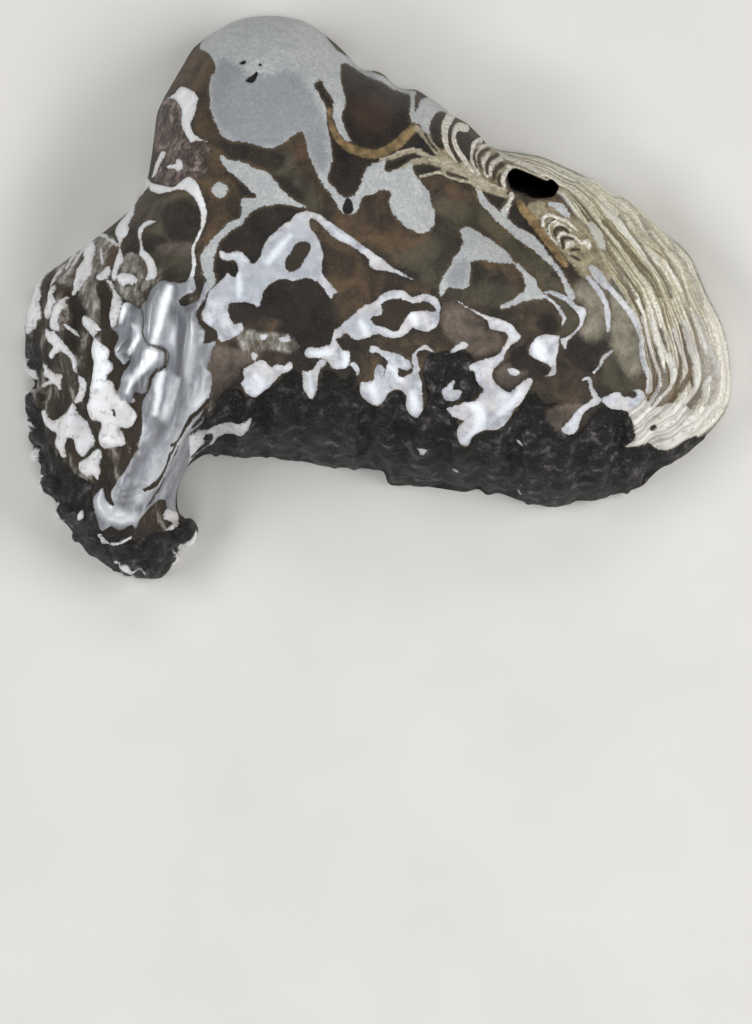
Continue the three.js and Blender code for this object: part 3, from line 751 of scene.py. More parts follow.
DARK_PATCHES = {
    "foot_oval": [
        (98, 529), (107, 525), (119, 523), (130, 524), (134, 530), (128, 538), (114, 541), (102, 538),
    ],
    "fan_crescent": [
        (440, 111), (445, 110), (449, 112), (446, 115), (442, 118), (440, 126), (440, 138), (442, 149),
        (437, 147), (432, 140), (428, 132), (430, 123), (433, 116),
    ],
    "fan_oval": [
        (463, 131), (469, 133), (474, 138), (473, 144), (472, 150), (471, 160), (468, 158), (463, 150),
        (459, 142), (459, 135),
    ],
    "ring_wedge": [
        (414, 135), (420, 132), (425, 140), (431, 148), (437, 156), (430, 156), (422, 151), (412, 149),
        (402, 152), (392, 157), (382, 158), (392, 153), (402, 146),
    ],
    "sweep_gap_1": [
        (384, 172), (392, 169), (401, 167), (405, 162), (414, 158), (422, 157), (418, 154), (408, 156),
        (396, 162), (386, 166),
    ],
    "sweep_gap_2": [
        (409, 171), (420, 168), (430, 165), (440, 167), (443, 171), (434, 174), (422, 173), (414, 176),
    ],
    "hinge_pool": [
        (341, 66), (345, 64), (350, 64), (356, 68), (365, 73), (375, 77), (385, 83), (395, 88), (405, 93),
        (410, 95), (411, 104), (410, 112), (412, 120), (411, 125), (405, 130), (399, 137), (392, 143),
        (380, 146), (368, 147), (356, 145), (349, 140), (344, 132), (341, 122), (341, 110), (344, 103),
        (346, 96), (344, 90), (342, 82), (341, 74),
    ],
    "throat": [
        (329, 128), (333, 134), (338, 140), (343, 146), (350, 151), (358, 155), (368, 158), (376, 159),
        (388, 158), (386, 161), (378, 163), (370, 166), (366, 169), (364, 176), (361, 183), (357, 190),
        (352, 196), (344, 196), (338, 192), (333, 186), (328, 180), (330, 170), (332, 160), (331, 148),
        (330, 138),
    ],
    "bean": [
        (220, 243), (223, 236), (229, 231), (236, 229), (241, 225), (246, 217), (253, 212), (260, 210),
        (268, 207), (278, 205), (288, 206), (298, 208), (303, 210), (296, 214), (291, 219), (284, 223),
        (278, 228), (271, 236), (264, 243), (261, 251), (259, 258), (255, 263), (251, 262), (247, 257),
        (241, 251), (228, 252), (220, 250), (216, 256), (216, 249),
    ],
    "notch": [
        (216, 258), (220, 259), (226, 261), (232, 261), (236, 263), (238, 268), (237, 274), (234, 277),
        (231, 275), (228, 271), (225, 275), (221, 280), (217, 281), (214, 275), (213, 267),
    ],
    "dome": [
        (258, 307), (261, 300), (265, 291), (272, 284), (280, 280), (288, 281), (295, 281), (303, 279),
        (311, 280), (318, 284), (324, 290), (329, 298), (332, 305), (332, 315), (333, 328), (331, 344),
        (322, 346), (308, 347), (300, 352), (292, 346), (293, 335), (284, 322), (272, 318), (262, 314),
    ],
    "wedge": [
        (513, 200), (519, 202), (522, 210), (529, 219), (536, 227), (543, 237), (550, 247), (557, 256),
        (563, 266), (555, 262), (548, 255), (540, 247), (530, 240), (520, 232), (513, 228), (507, 222),
        (508, 213), (512, 206),
    ],
    "hole_shade": [(486, 193), (494, 190), (502, 195), (504, 201), (498, 207), (492, 205)],
    "shoulder_1": [
        (524, 345), (529, 338), (527, 352), (534, 362), (545, 367), (548, 373), (540, 380), (530, 378),
        (516, 385), (508, 389), (500, 385), (495, 376), (499, 367), (508, 360), (514, 350),
    ],
    "shoulder_2": [
        (569, 342), (577, 335), (590, 334), (605, 336), (612, 340), (614, 348), (606, 352), (599, 358),
        (596, 368), (588, 372), (578, 368), (568, 360), (563, 352),
    ],
    "fan_gap": [
        (254, 166), (240, 178), (248, 186), (256, 196), (250, 200), (243, 196), (236, 185), (230, 174),
    ],
}
GAP_STROKES = {
    "fan_1": ([(455, 121), (451, 128), (450, 136), (451, 145), (455, 153), (461, 162)], (3, 3, 3, 3, 3, 2)),
    "fan_2": ([(479, 141), (476, 149), (475, 158), (478, 168)], (1.5, 2, 2, 1.5)),
    "fan_3": ([(489, 148), (484, 150), (480, 155), (480, 163), (483, 170)], (3, 3.5, 3, 2.5, 1.5)),
    "fan_4": ([(497, 154), (491, 158), (487, 165), (488, 173)], (3, 3, 3, 2)),
    "fan_5": ([(503, 164), (498, 167), (495, 173), (494, 178)], (4, 4, 3, 2)),
    "fan_6": ([(500, 174), (499, 181), (501, 186)], (2, 2.5, 2)),
    "fan_7": ([(425, 134), (430, 142), (437, 150)], (2, 2, 1.5)),
    "sweep_under": ([(448, 173), (458, 176), (468, 180)], (3, 3, 2)),
    "eye_slit": ([(570, 250), (575, 249), (580, 249)], (1.5, 2.5, 1.5)),
    "eye_inner": ([(563, 247), (562, 242), (563, 238), (568, 237), (573, 239)], (2.5, 3.5, 3.5, 3, 2)),
    "eye_middle": ([(556, 236), (555, 231), (557, 228), (563, 228), (569, 232)], (1.5, 3, 3.5, 3, 2)),
    "eye_outer": ([(548, 232), (547, 226), (549, 222), (555, 219)], (1, 1, 1, 1)),
    "eye_low": ([(570, 255), (575, 257), (580, 260)], (2, 3, 2)),
}
SMOKE_PATCHES = {
    "disc_top": [
        (172, 204), (184, 200), (194, 206), (199, 218), (198, 232), (190, 243), (176, 243), (168, 234),
        (164, 222), (166, 210),
    ],
    "disc_foot": [(146, 236), (158, 237), (166, 243), (160, 250), (148, 248)],
    "lens": [
        (315, 84), (319, 80), (324, 81), (325, 88), (330, 95), (334, 102), (333, 109), (330, 112), (327, 108),
        (324, 102), (320, 96), (316, 90),
    ],
    "smoke": [
        (230, 304), (240, 302), (250, 303), (258, 307), (262, 314), (258, 319), (248, 322), (238, 322),
        (232, 316),
    ],
    "disc_left": [(143, 240), (150, 241), (160, 243), (166, 247), (160, 251), (150, 250), (145, 247)],
    "shoulder_3": [(538, 322), (545, 314), (553, 316), (558, 324), (554, 331), (545, 331)],
    "under_cap_dark": [
        (222, 144), (240, 146), (258, 150), (272, 152), (284, 158), (276, 168), (262, 166), (246, 160),
        (230, 154),
    ],
    "under_cap_right": [(268, 180), (280, 178), (300, 192), (298, 204), (286, 196), (274, 188)],
    "wing_foot": [(486, 195), (498, 192), (502, 198), (500, 206), (494, 208)],
}
STONE_PATCHES = {
    "beak_side": [
        (163, 101), (168, 99), (175, 101), (181, 106), (183, 113), (182, 121), (184, 130), (188, 138),
        (192, 144), (200, 143), (208, 146), (213, 152), (208, 158), (207, 165), (205, 172), (200, 178),
        (195, 180), (190, 178), (183, 181), (177, 184), (170, 186), (163, 184), (156, 181), (156, 175),
        (163, 165), (167, 156), (163, 150), (156, 152), (155, 140), (158, 120), (160, 110),
    ],
}
OLIVE_PATCHES = {
    "disc_ground": [
        (150, 206), (162, 198), (180, 193), (194, 198), (201, 212), (200, 230), (192, 246), (176, 250),
        (158, 246), (148, 232),
    ],
    "rear_pool": [
        (600, 352), (610, 352), (622, 356), (632, 352), (638, 360), (640, 372), (640, 384), (632, 390),
        (620, 392), (610, 391), (602, 384), (601, 372), (603, 362),
    ],
    "rear_slope": [
        (478, 205), (490, 214), (510, 234), (530, 249), (545, 262), (558, 280), (566, 293), (552, 291),
        (543, 286), (531, 273), (515, 258), (496, 239), (482, 228), (470, 222), (460, 226), (450, 210),
        (460, 202),
    ],
    "mid_slope": [
        (434, 195), (452, 200), (464, 216), (462, 230), (456, 250), (445, 270), (438, 288), (425, 280),
        (408, 268), (395, 258), (415, 245), (436, 232), (438, 215),
    ],
    "under_cap": [
        (262, 155), (285, 150), (298, 165), (312, 190), (322, 208), (305, 210), (288, 193), (275, 176),
    ],
    "wing_inside": [
        (473, 285), (485, 280), (505, 285), (520, 290), (510, 300), (500, 306), (488, 306), (470, 302),
        (455, 299), (447, 295), (452, 290), (465, 290),
    ],
    "eye_patch": [(571, 254), (578, 257), (586, 264), (590, 271), (586, 275), (580, 272), (574, 264)],
    "hook_inside": [
        (550, 296), (560, 299), (570, 306), (576, 314), (578, 322), (574, 330), (566, 333), (562, 328),
        (565, 318), (560, 308), (553, 301),
    ],
    "lobe_oval": [
        (49, 388), (55, 387), (60, 390), (62, 396), (62, 404), (60, 412), (55, 418), (51, 418), (48, 413),
        (46, 407), (48, 400), (48, 394),
    ],
    "lobe_disc": [
        (57, 357), (62, 352), (68, 353), (74, 358), (78, 365), (80, 375), (82, 385), (82, 395), (79, 400),
        (73, 405), (69, 411), (66, 415), (67, 405), (66, 395), (64, 385), (65, 378), (70, 372), (60, 370),
    ],
    "lobe_band": [
        (82, 340), (88, 338), (95, 345), (93, 355), (96, 370), (94, 388), (90, 378), (84, 372), (83, 355),
    ],
    "disc_low": [
        (154, 252), (160, 250), (175, 249), (188, 249), (192, 255), (193, 265), (190, 274), (183, 281),
        (170, 284), (160, 281), (156, 270), (154, 260),
    ],
    "hook_brown": [
        (196, 262), (199, 268), (203, 274), (206, 281), (206, 289), (203, 295), (197, 299), (190, 303),
        (184, 307), (180, 305), (178, 301), (181, 297), (187, 296), (193, 292), (195, 288), (193, 280),
        (194, 270),
    ],
}
MIST_PATCHES = {
    "wart": [
        (234, 328), (246, 330), (262, 333), (284, 334), (297, 344), (291, 353), (277, 350), (262, 350),
        (248, 352), (238, 342),
    ],
    "lobe_grey": [
        (122, 262), (126, 256), (131, 253), (137, 255), (142, 259), (145, 265), (145, 272), (142, 278),
        (137, 278), (134, 274), (128, 272), (122, 272),
    ],
    "lobe_fork": [
        (117, 285), (124, 286), (134, 287), (141, 295), (143, 303), (136, 306), (128, 300), (121, 296),
    ],
    "grain": [
        (82, 282), (90, 280), (98, 280), (102, 285), (101, 293), (103, 305), (104, 326), (99, 324), (93, 318),
        (88, 312), (83, 305), (80, 295),
    ],
    "lobe_brow": [
        (92, 240), (104, 236), (114, 240), (108, 252), (104, 266), (96, 280), (88, 284), (90, 266), (96, 252),
    ],
    "lobe_slope": [(58, 262), (68, 256), (80, 254), (74, 266), (70, 280), (62, 284), (56, 276)],
}
MAUVE_PATCHES = {
    "disc_band": [(156, 246), (170, 243), (188, 243), (193, 249), (186, 254), (170, 254), (158, 253)],
    "shoulder": [
        (444, 303), (460, 305), (482, 318), (487, 332), (500, 334), (496, 350), (476, 356), (455, 342),
        (442, 328),
    ],
    "shoulder_low": [(497, 372), (508, 364), (516, 370), (528, 372), (520, 382), (508, 388), (500, 384)],
    "tile": [
        (546, 410), (560, 404), (580, 402), (590, 403), (578, 412), (568, 420), (562, 428), (554, 428),
        (548, 420),
    ],
    "wart_left": [
        (212, 350), (224, 346), (238, 350), (246, 344), (262, 348), (258, 360), (244, 366), (236, 378),
        (224, 388), (212, 390), (206, 376),
    ],
}
GREY_PATCHES = {
    "rear_field": [
        (574, 292), (582, 280), (598, 276), (612, 284), (607, 296), (609, 310), (607, 326), (602, 337),
        (590, 339), (582, 332), (588, 317), (585, 304), (578, 300),
    ],
    "rear_gully": [
        (612, 286), (622, 296), (632, 312), (638, 330), (641, 350), (640, 370), (630, 376), (620, 360),
        (612, 346), (609, 325), (610, 305),
    ],
}
RUST_PATCHES = {
    "pool_heart": [
        (352, 96), (366, 92), (384, 98), (396, 108), (392, 124), (376, 132), (360, 126), (352, 112),
    ],
    "left_of_cap": [
        (196, 50), (208, 55), (213, 66), (208, 80), (207, 100), (212, 120), (220, 137), (214, 140),
        (200, 134), (198, 117), (201, 102), (194, 90), (183, 85), (172, 92), (164, 97), (174, 80), (184, 63),
    ],
    "orange_spot": [(206, 148), (214, 146), (220, 156), (222, 170), (214, 180), (206, 172), (203, 160)],
    "round_disc": [
        (206, 182), (217, 174), (232, 180), (239, 195), (238, 212), (226, 222), (212, 236), (206, 240),
        (209, 220),
    ],
    "tongue_under": [
        (332, 206), (346, 218), (360, 213), (366, 198), (378, 193), (387, 197), (392, 214), (402, 226),
        (416, 236), (432, 234), (438, 240), (424, 250), (405, 256), (385, 250), (362, 240), (342, 228),
    ],
    "below_line": [
        (324, 236), (345, 249), (365, 264), (388, 275), (410, 284), (428, 292), (415, 291), (400, 287),
        (384, 290), (366, 300), (350, 312), (340, 320), (336, 302), (341, 293), (332, 280), (326, 262),
    ],
    "cap_tongue": [
        (296, 138), (302, 134), (306, 150), (314, 172), (326, 192), (332, 205), (320, 206), (308, 190),
        (298, 168),
    ],
    "fan_under": [
        (422, 178), (440, 176), (460, 183), (476, 190), (482, 202), (468, 200), (450, 193), (432, 188),
    ],
    "wing_edge": [
        (500, 264), (512, 266), (519, 273), (524, 282), (520, 291), (513, 290), (510, 276), (502, 270),
        (480, 268), (484, 262),
    ],
    "lobe_hinge": [(97, 238), (108, 240), (116, 248), (114, 262), (108, 268), (100, 272), (96, 258)],
    "knuckle_line": [(100, 449), (126, 447), (128, 458), (122, 470), (112, 476), (103, 470), (101, 458)],
    "lobe_foot": [(140, 520), (150, 511), (160, 502), (166, 512), (164, 522), (156, 528), (146, 528)],
    "lobe_cheek": [(66, 274), (74, 276), (73, 290), (70, 297), (62, 300), (60, 288)],
}
OCHRE_STROKES = {
    "great_ring": ([
        (329, 110), (330, 119), (332, 127), (336, 135), (342, 142), (350, 148), (359, 152), (370, 154),
        (380, 153), (390, 149), (399, 142), (406, 135), (412, 129), (417, 125),
    ], (3, 4, 5, 6, 7, 8, 8, 8, 8, 9, 9, 9, 8, 6)),
    "gold_line": ([
        (520, 203), (524, 210), (530, 217), (536, 224), (541, 231), (547, 240), (554, 248), (560, 257),
        (566, 265),
    ], (6, 8, 8, 8, 8, 7, 7, 6, 4)),
}
TAN_PATCHES = {
    "fan_ground": [
        (420, 128), (428, 134), (436, 146), (442, 150), (447, 147), (452, 152), (458, 158), (470, 160),
        (474, 150), (476, 140), (488, 147), (502, 153), (520, 160), (512, 166), (504, 176), (508, 190),
        (500, 195), (484, 190), (466, 181), (448, 172), (430, 162), (438, 156), (428, 142),
    ],
    "eye_ground": [
        (530, 203), (545, 201), (556, 205), (568, 214), (580, 222), (592, 236), (600, 250), (606, 262),
        (612, 276), (604, 282), (592, 278), (580, 274), (572, 264), (562, 253), (552, 241), (543, 230),
        (535, 219), (529, 210),
    ],
}
SWEEP_STROKES = {
    "sweep_1": ([
        (380, 163), (388, 160), (398, 155), (408, 151), (418, 152), (430, 157), (442, 160), (456, 163),
        (468, 168), (480, 176),
    ], (3, 3, 4, 4, 4, 4, 5, 5, 5, 4)),
    "sweep_2": ([
        (404, 168), (412, 164), (422, 161), (434, 162), (446, 166), (460, 172), (474, 178), (490, 185),
        (502, 189),
    ], (3, 4, 4, 5, 5, 5, 5, 5, 4)),
    "sweep_3": ([(444, 170), (456, 175), (468, 180), (480, 186), (494, 191), (507, 197)], (3, 4, 4, 4, 5, 4)),
    "sweep_4": ([(448, 156), (456, 162), (466, 170), (478, 179)], (3, 4, 4, 3)),
    "ring_tail": ([(417, 128), (424, 134), (431, 143), (438, 152), (446, 160)], (6, 6, 5, 5, 3)),
}
CREAM_STROKES = {
    "fan_1": ([
        (452, 114), (448, 120), (445, 128), (445, 138), (448, 147), (452, 154), (457, 161),
    ], (8, 8, 6, 5, 5, 4, 2)),
    "fan_2": ([
        (466, 128), (458, 126), (454, 132), (454, 140), (458, 149), (463, 156), (468, 164), (474, 172),
    ], (7, 8, 4, 4, 4, 4, 3, 2)),
    "fan_3": ([(480, 140), (475, 143), (473, 150), (473, 158), (476, 167), (480, 174)], (5, 4, 3, 3, 2, 1.5)),
    "fan_4": ([(487, 145), (481, 147), (478, 152), (478, 160), (480, 168)], (4, 3, 2, 2, 1)),
    "fan_5": ([(489, 153), (486, 157), (484, 163), (485, 171), (488, 176)], (3, 4, 3, 3, 2)),
    "fan_6": ([(500, 159), (494, 162), (491, 168), (491, 175)], (5, 4, 3, 2)),
    "fan_7": ([(509, 170), (505, 174), (503, 180), (505, 187)], (4, 4, 4, 2)),
    "fan_foot": ([(512, 194), (509, 202), (507, 209)], (4, 4, 3)),
    "eye_1": ([
        (543, 226), (543, 220), (546, 216), (551, 215), (557, 217), (564, 220), (571, 225), (577, 231),
    ], (2, 2.5, 3, 3, 2.5, 2, 2, 1)),
    "eye_2": ([
        (550, 234), (548, 228), (549, 223), (553, 221), (558, 223), (564, 226), (571, 231),
    ], (1.5, 2, 2.5, 2.5, 1.5, 1.5, 1)),
    "eye_3": ([(554, 226), (556, 224), (559, 225)], (1.5, 1.5, 1)),
    "eye_4": ([
        (561, 246), (559, 241), (559, 236), (563, 233), (568, 234), (574, 238), (580, 242),
    ], (1, 2, 2.5, 3, 2.5, 2.5, 2)),
    "eye_5": ([(567, 246), (570, 243), (572, 245)], (4, 5, 4)),
    "eye_6": ([(568, 254), (575, 258), (581, 260)], (1, 1.2, 1)),
    "eye_7": ([(546, 230), (551, 237), (557, 244)], (1.2, 1.2, 1)),
    "eye_8": ([(582, 243), (587, 242), (589, 247)], (3, 5, 4)),
    "hole_brow": ([(498, 152), (508, 158), (520, 162), (532, 168), (544, 176)], (2, 3, 3, 3, 2)),
    "hole_lash": ([(508, 166), (520, 170), (532, 175)], (2, 2, 1.5)),
}
SHORE_STROKES = {
    "fan_shore": ([
        (420, 177), (430, 174), (441, 172), (451, 177), (462, 181), (472, 183), (480, 189),
    ], (2, 2, 3, 2, 2, 2, 3)),
    "sweep_edge_1": ([(380, 160), (390, 157), (400, 152), (412, 149), (422, 150)], (2, 2, 1.5, 2, 1)),
    "sweep_edge_2": ([
        (402, 168), (411, 162), (422, 159), (434, 160), (446, 164), (460, 169),
    ], (2.5, 2, 1.5, 1.5, 1.5, 1)),
    "sweep_edge_3": ([(455, 157), (464, 165), (474, 173), (484, 179)], (1.5, 1.5, 1.5, 1)),
    "sweep_edge_4": ([(470, 174), (482, 181), (494, 186), (505, 189)], (1.5, 1.5, 2, 2)),
    "sweep_edge_5": ([(466, 160), (472, 168), (479, 175), (487, 181)], (1, 1.5, 1.5, 1)),
}
PALE_DISCS = {
    "coin": ((220, 190), 8),
}
GROOVE_STROKES = {
    "upper_1": ([
        (570, 212), (580, 222), (593, 236), (602, 248), (612, 262), (620, 275), (626, 286), (634, 299),
    ], (2, 2.5, 2.5, 2.5, 2.5, 3, 3, 3)),
    "upper_2": ([
        (580, 212), (589, 223), (601, 238), (609, 252), (618, 267), (628, 281), (639, 296), (644, 307),
    ], (2, 2.5, 2.5, 2.5, 2.5, 3, 3, 3)),
    "upper_3": ([
        (602, 222), (612, 233), (621, 246), (631, 259), (639, 270), (649, 283), (657, 297),
    ], (2, 2.5, 2.5, 2.5, 3, 3, 3)),
    "upper_4": ([
        (618, 217), (629, 231), (639, 244), (649, 257), (658, 270), (666, 283), (671, 297),
    ], (1.5, 2, 2.5, 2.5, 2.5, 2.5, 2.5)),
    "upper_5": ([
        (634, 222), (647, 239), (660, 254), (671, 272), (681, 289), (687, 307),
    ], (1.5, 2, 2, 2.5, 2.5, 2.5)),
    "upper_6": ([(666, 244), (678, 262), (687, 278), (694, 292), (698, 307)], (1.5, 2, 2, 2.5, 2.5)),
    "lower_1": ([
        (645, 340), (648, 355), (652, 368), (655, 378), (654, 387), (649, 396), (645, 404),
    ], (3, 3, 4, 5, 8, 6, 2)),
    "lower_2": ([
        (655, 345), (658, 360), (661, 372), (662, 382), (658, 392), (652, 402), (647, 409),
    ], (2, 3, 4, 5, 6, 5, 2)),
    "lower_3": ([
        (660, 330), (664, 345), (667, 360), (667, 372), (664, 385), (659, 395), (652, 405),
    ], (3, 4, 4, 5, 5, 4, 3)),
    "lower_4": ([
        (672, 330), (676, 345), (679, 358), (679, 370), (677, 380), (672, 390), (664, 402), (655, 412),
        (645, 424),
    ], (3, 4, 3, 4, 5, 10, 12, 8, 3)),
    "lower_5": ([(680, 325), (685, 345), (688, 360), (688, 372), (685, 382), (680, 390)], (3, 4, 4, 5, 6, 4)),
    "lower_6": ([
        (688, 320), (695, 340), (700, 358), (703, 370), (701, 382), (697, 393), (690, 402), (680, 412),
    ], (3, 4, 5, 6, 7, 8, 7, 4)),
    "lower_7": ([
        (700, 345), (707, 362), (711, 375), (713, 387), (710, 397), (703, 405),
    ], (3, 5, 8, 11, 9, 4)),
    "smear": ([(725, 405), (715, 413), (705, 420), (699, 428)], (4, 7, 9, 8)),
}
# Pearly column: ridges with painted highlights, hollows with painted shade, seams that part its sheets
GLEAM_STROKES = {
    "column_1": ([
        (172, 288), (170, 295), (167, 303), (165, 310), (163, 317), (161, 325), (159, 333), (157, 341),
        (155, 346),
    ], (3, 5, 6, 6, 5, 5, 5, 4, 3)),
    "column_2": ([
        (153, 352), (152, 359), (147, 366), (142, 371), (138, 376), (134, 381), (131, 387), (129, 392),
    ], (8, 9, 8, 7, 6, 5, 4, 2)),
    "slip_1": ([(127, 305), (125, 311), (123, 318), (122, 322)], (5, 5, 4, 2)),
    "slip_2": ([(139, 327), (141, 335), (138, 342), (135, 348), (132, 353)], (4, 4, 3, 3, 2)),
    "foot_1": ([(162, 372), (160, 380), (158, 387), (158, 396), (156, 404), (155, 412)], (5, 6, 6, 5, 5, 4)),
}
# Broad painted sheen on the pearly column
SOFT_GLEAM_STROKES = {
    "sole": ([(116, 474), (108, 492), (108, 508), (122, 517), (134, 518)], (12, 18, 20, 16, 10)),
    "strand": ([(207, 392), (190, 414), (170, 442), (152, 470), (138, 498)], (8, 10, 12, 12, 8)),
    "column_3": ([
        (195, 325), (194, 334), (193, 343), (192, 352), (191, 361), (190, 370), (189, 378),
    ], (4, 5, 6, 6, 5, 4, 3)),
    "margin_1": ([(206, 372), (204, 382), (200, 392), (194, 402), (186, 412)], (4, 5, 5, 5, 5)),
    "slip_3": ([(117, 350), (119, 358), (123, 363)], (5, 6, 4)),
    "column_4": ([(176, 378), (172, 390), (168, 402), (163, 416)], (4, 4, 4, 4)),
    "foot_2": ([(142, 425), (135, 440), (126, 455), (118, 470)], (7, 8, 8, 6)),
    "foot_3": ([(175, 425), (164, 442), (154, 458), (146, 472)], (5, 6, 5, 4)),
}
GLINT_STROKES = {
    "loop": ([(238, 272), (240, 284), (239, 296)], (2, 5, 3)),
    "loop_top": ([(290, 236), (278, 250), (268, 262)], (3, 6, 4)),
    "ring": ([(361, 322), (364, 328), (366, 334)], (4, 6, 4)),
    "ring_right": ([(408, 314), (414, 318), (416, 324)], (4, 8, 5)),
    "tooth_1": ([(312, 352), (322, 353), (330, 352)], (4, 6, 4)),
    "tooth_2": ([(345, 350), (346, 358), (346, 366)], (4, 7, 5)),
    "drop": ([(309, 372), (311, 382), (312, 392)], (3, 4, 3)),
    "cluster_1": ([(370, 384), (374, 392), (376, 399)], (5, 8, 6)),
    "cluster_2": ([(412, 392), (415, 400), (414, 408)], (5, 8, 6)),
    "cluster_3": ([(388, 366), (396, 372), (402, 380)], (3, 5, 4)),
    "sail": ([(536, 342), (540, 350), (542, 358)], (8, 13, 9)),
    "zig": ([(470, 402), (480, 412), (478, 424), (466, 434)], (6, 10, 9, 6)),
    "zig_right": ([(498, 412), (508, 404), (518, 394)], (6, 8, 5)),
    "wart": ([(263, 338), (268, 338)], (3, 3)),
    "mound": ([(256, 376), (262, 384), (258, 392)], (5, 9, 6)),
    "lobe_1": ([(84, 330), (92, 336)], (5, 5)),
    "lobe_2": ([(106, 350), (108, 368), (104, 384)], (6, 8, 6)),
}
# Hollows on the pearly column and wrinkles at its foot, coloured with painted shade
SHADED_TROUGH_STROKES = {
    "wrinkle_1": ([(112, 478), (118, 486), (128, 489), (138, 486)], (1, 1.5, 1.5, 1)),
    "wrinkle_2": ([(109, 484), (116, 493), (128, 496), (138, 492)], (1, 1.5, 1.5, 1)),
    "wrinkle_3": ([(108, 492), (114, 500), (126, 503), (136, 499)], (1, 1.5, 1.5, 1)),
    "column_1": ([
        (176, 312), (182, 322), (184, 334), (183, 348), (181, 362), (178, 376), (172, 390), (167, 400),
    ], (8, 10, 11, 11, 10, 8, 6, 4)),
    "column_2": ([(151, 298), (149, 310), (148, 322)], (6, 5, 4)),
    "slip_1": ([(133, 330), (131, 340), (128, 348), (126, 356)], (5, 6, 5, 4)),
    "slip_2": ([(146, 374), (141, 382), (136, 391)], (6, 8, 6)),
    "foot_1": ([(168, 408), (160, 424), (150, 440), (140, 456), (130, 472)], (4, 5, 5, 5, 4)),
    "foot_2": ([(120, 430), (114, 444), (108, 456)], (4, 5, 4)),
}
SEAM_STROKES = {
    "sheet_1": ([
        (140, 300), (142, 308), (144, 318), (144, 328), (146, 337), (151, 343), (157, 346), (163, 349),
        (167, 352), (168, 358), (166, 364), (161, 368), (156, 370), (153, 376), (151, 383), (148, 389),
    ], (1, 1, 1.3, 1.3, 1.3, 1.5, 1.5, 2.5, 3, 3, 2.5, 2, 2.5, 2.5, 2.5, 2)),
    "sheet_2": ([(121, 315), (117, 321), (113, 327)], (1, 1.2, 1)),
    "sheet_3": ([(131, 338), (124, 345), (119, 352)], (0.6, 0.8, 0.6)),
    "sheet_4": ([(130, 359), (133, 355), (137, 348)], (1.5, 1, 0.6)),
}
# Soft shade and tint on the pale and the white marks
SHADE_PATCHES = {
    "zig_top": [(471, 384), (480, 380), (489, 388), (488, 397), (478, 399), (471, 394)],
    "cap_low": [
        (216, 66), (228, 60), (248, 72), (270, 74), (292, 70), (306, 84), (318, 104), (326, 130), (328, 165),
        (318, 172), (308, 150), (300, 134), (288, 140), (268, 147), (236, 141), (218, 122), (211, 98),
    ],
    "loop_left": [
        (236, 262), (252, 266), (264, 254), (274, 240), (290, 226), (302, 218), (316, 240), (320, 270),
        (296, 276), (276, 278), (264, 288), (256, 302), (234, 300), (212, 300), (214, 288), (228, 276),
    ],
    "wing_heart": [(455, 262), (468, 262), (466, 284), (450, 286), (446, 276)],
    "ring_left": [(345, 326), (362, 312), (376, 318), (372, 332), (356, 336)],
}

# The rear: growth lines between an inner and an outer line, on the chart
GROWTH_OUTER = [
    (488, 145), (500, 150), (520, 153), (542, 157), (560, 165), (580, 174), (600, 186), (615, 197),
    (632, 208), (648, 222), (665, 234), (680, 245), (692, 259), (699, 275), (706, 292), (713, 306),
    (720, 320), (726, 338), (731, 365), (733, 384), (731, 400), (722, 416), (706, 432), (686, 445),
    (662, 456), (640, 464),
]
GROWTH_INNER = [
    (497, 162), (520, 171), (545, 184), (560, 197), (572, 212), (590, 240), (606, 268), (622, 292),
    (634, 318), (640, 350), (645, 372), (646, 388), (638, 402), (624, 414), (606, 424),
]

# Ledges and coloured lines along the growth zone: how many lie across it, and their length in millimetres
GROWTH_TURNS = 9.0
GROWTH_LENGTH = 40.0
LINE_TURNS = 17.0
LINE_LENGTH = 26.0

# Zones on the chart, each as the place where it starts to fade in and the length over which it does
LOW_REAR = (285, 65)
COLUMN_TOP = (262, 20)
COLUMN_REAR = (195, 12)
FRONT = (236, -25)
LOBE_REAR = (225, -25)
LOBE_TOP = (262, 25)

CRUST_PATCHES = {
    "belly": [
        (203, 420), (215, 405), (225, 393), (240, 390), (255, 400), (268, 390), (280, 382), (290, 372),
        (297, 370), (303, 388), (310, 398), (318, 390), (322, 375), (330, 370), (345, 380), (352, 372),
        (358, 385), (365, 400), (375, 407), (388, 395), (400, 392), (406, 405), (415, 417), (425, 408),
        (428, 395), (424, 370), (430, 355), (440, 352), (455, 352), (470, 355), (474, 372), (478, 385),
        (470, 400), (450, 403), (447, 410), (458, 420), (457, 432), (466, 446), (473, 440), (490, 430),
        (508, 420), (518, 408), (528, 394), (535, 392), (542, 402), (560, 404), (580, 402), (590, 403),
        (575, 412), (565, 420), (560, 428), (566, 433), (579, 433), (588, 422), (596, 410), (603, 407),
        (612, 410), (626, 411), (631, 425), (632, 437), (626, 447), (640, 442), (650, 443), (658, 449),
        (670, 445), (683, 440), (692, 436), (703, 436), (730, 430), (745, 445), (700, 520), (400, 520),
        (215, 500), (192, 472), (200, 446),
    ],
    "lobe": [
        (10, 335), (30, 337), (38, 345), (42, 362), (36, 385), (40, 408), (44, 430), (58, 456), (70, 468),
        (80, 478), (92, 484), (94, 510), (100, 532), (130, 542), (160, 532), (180, 526), (182, 512),
        (176, 500), (188, 478), (205, 480), (210, 520), (200, 600), (60, 600), (10, 500),
    ],
}

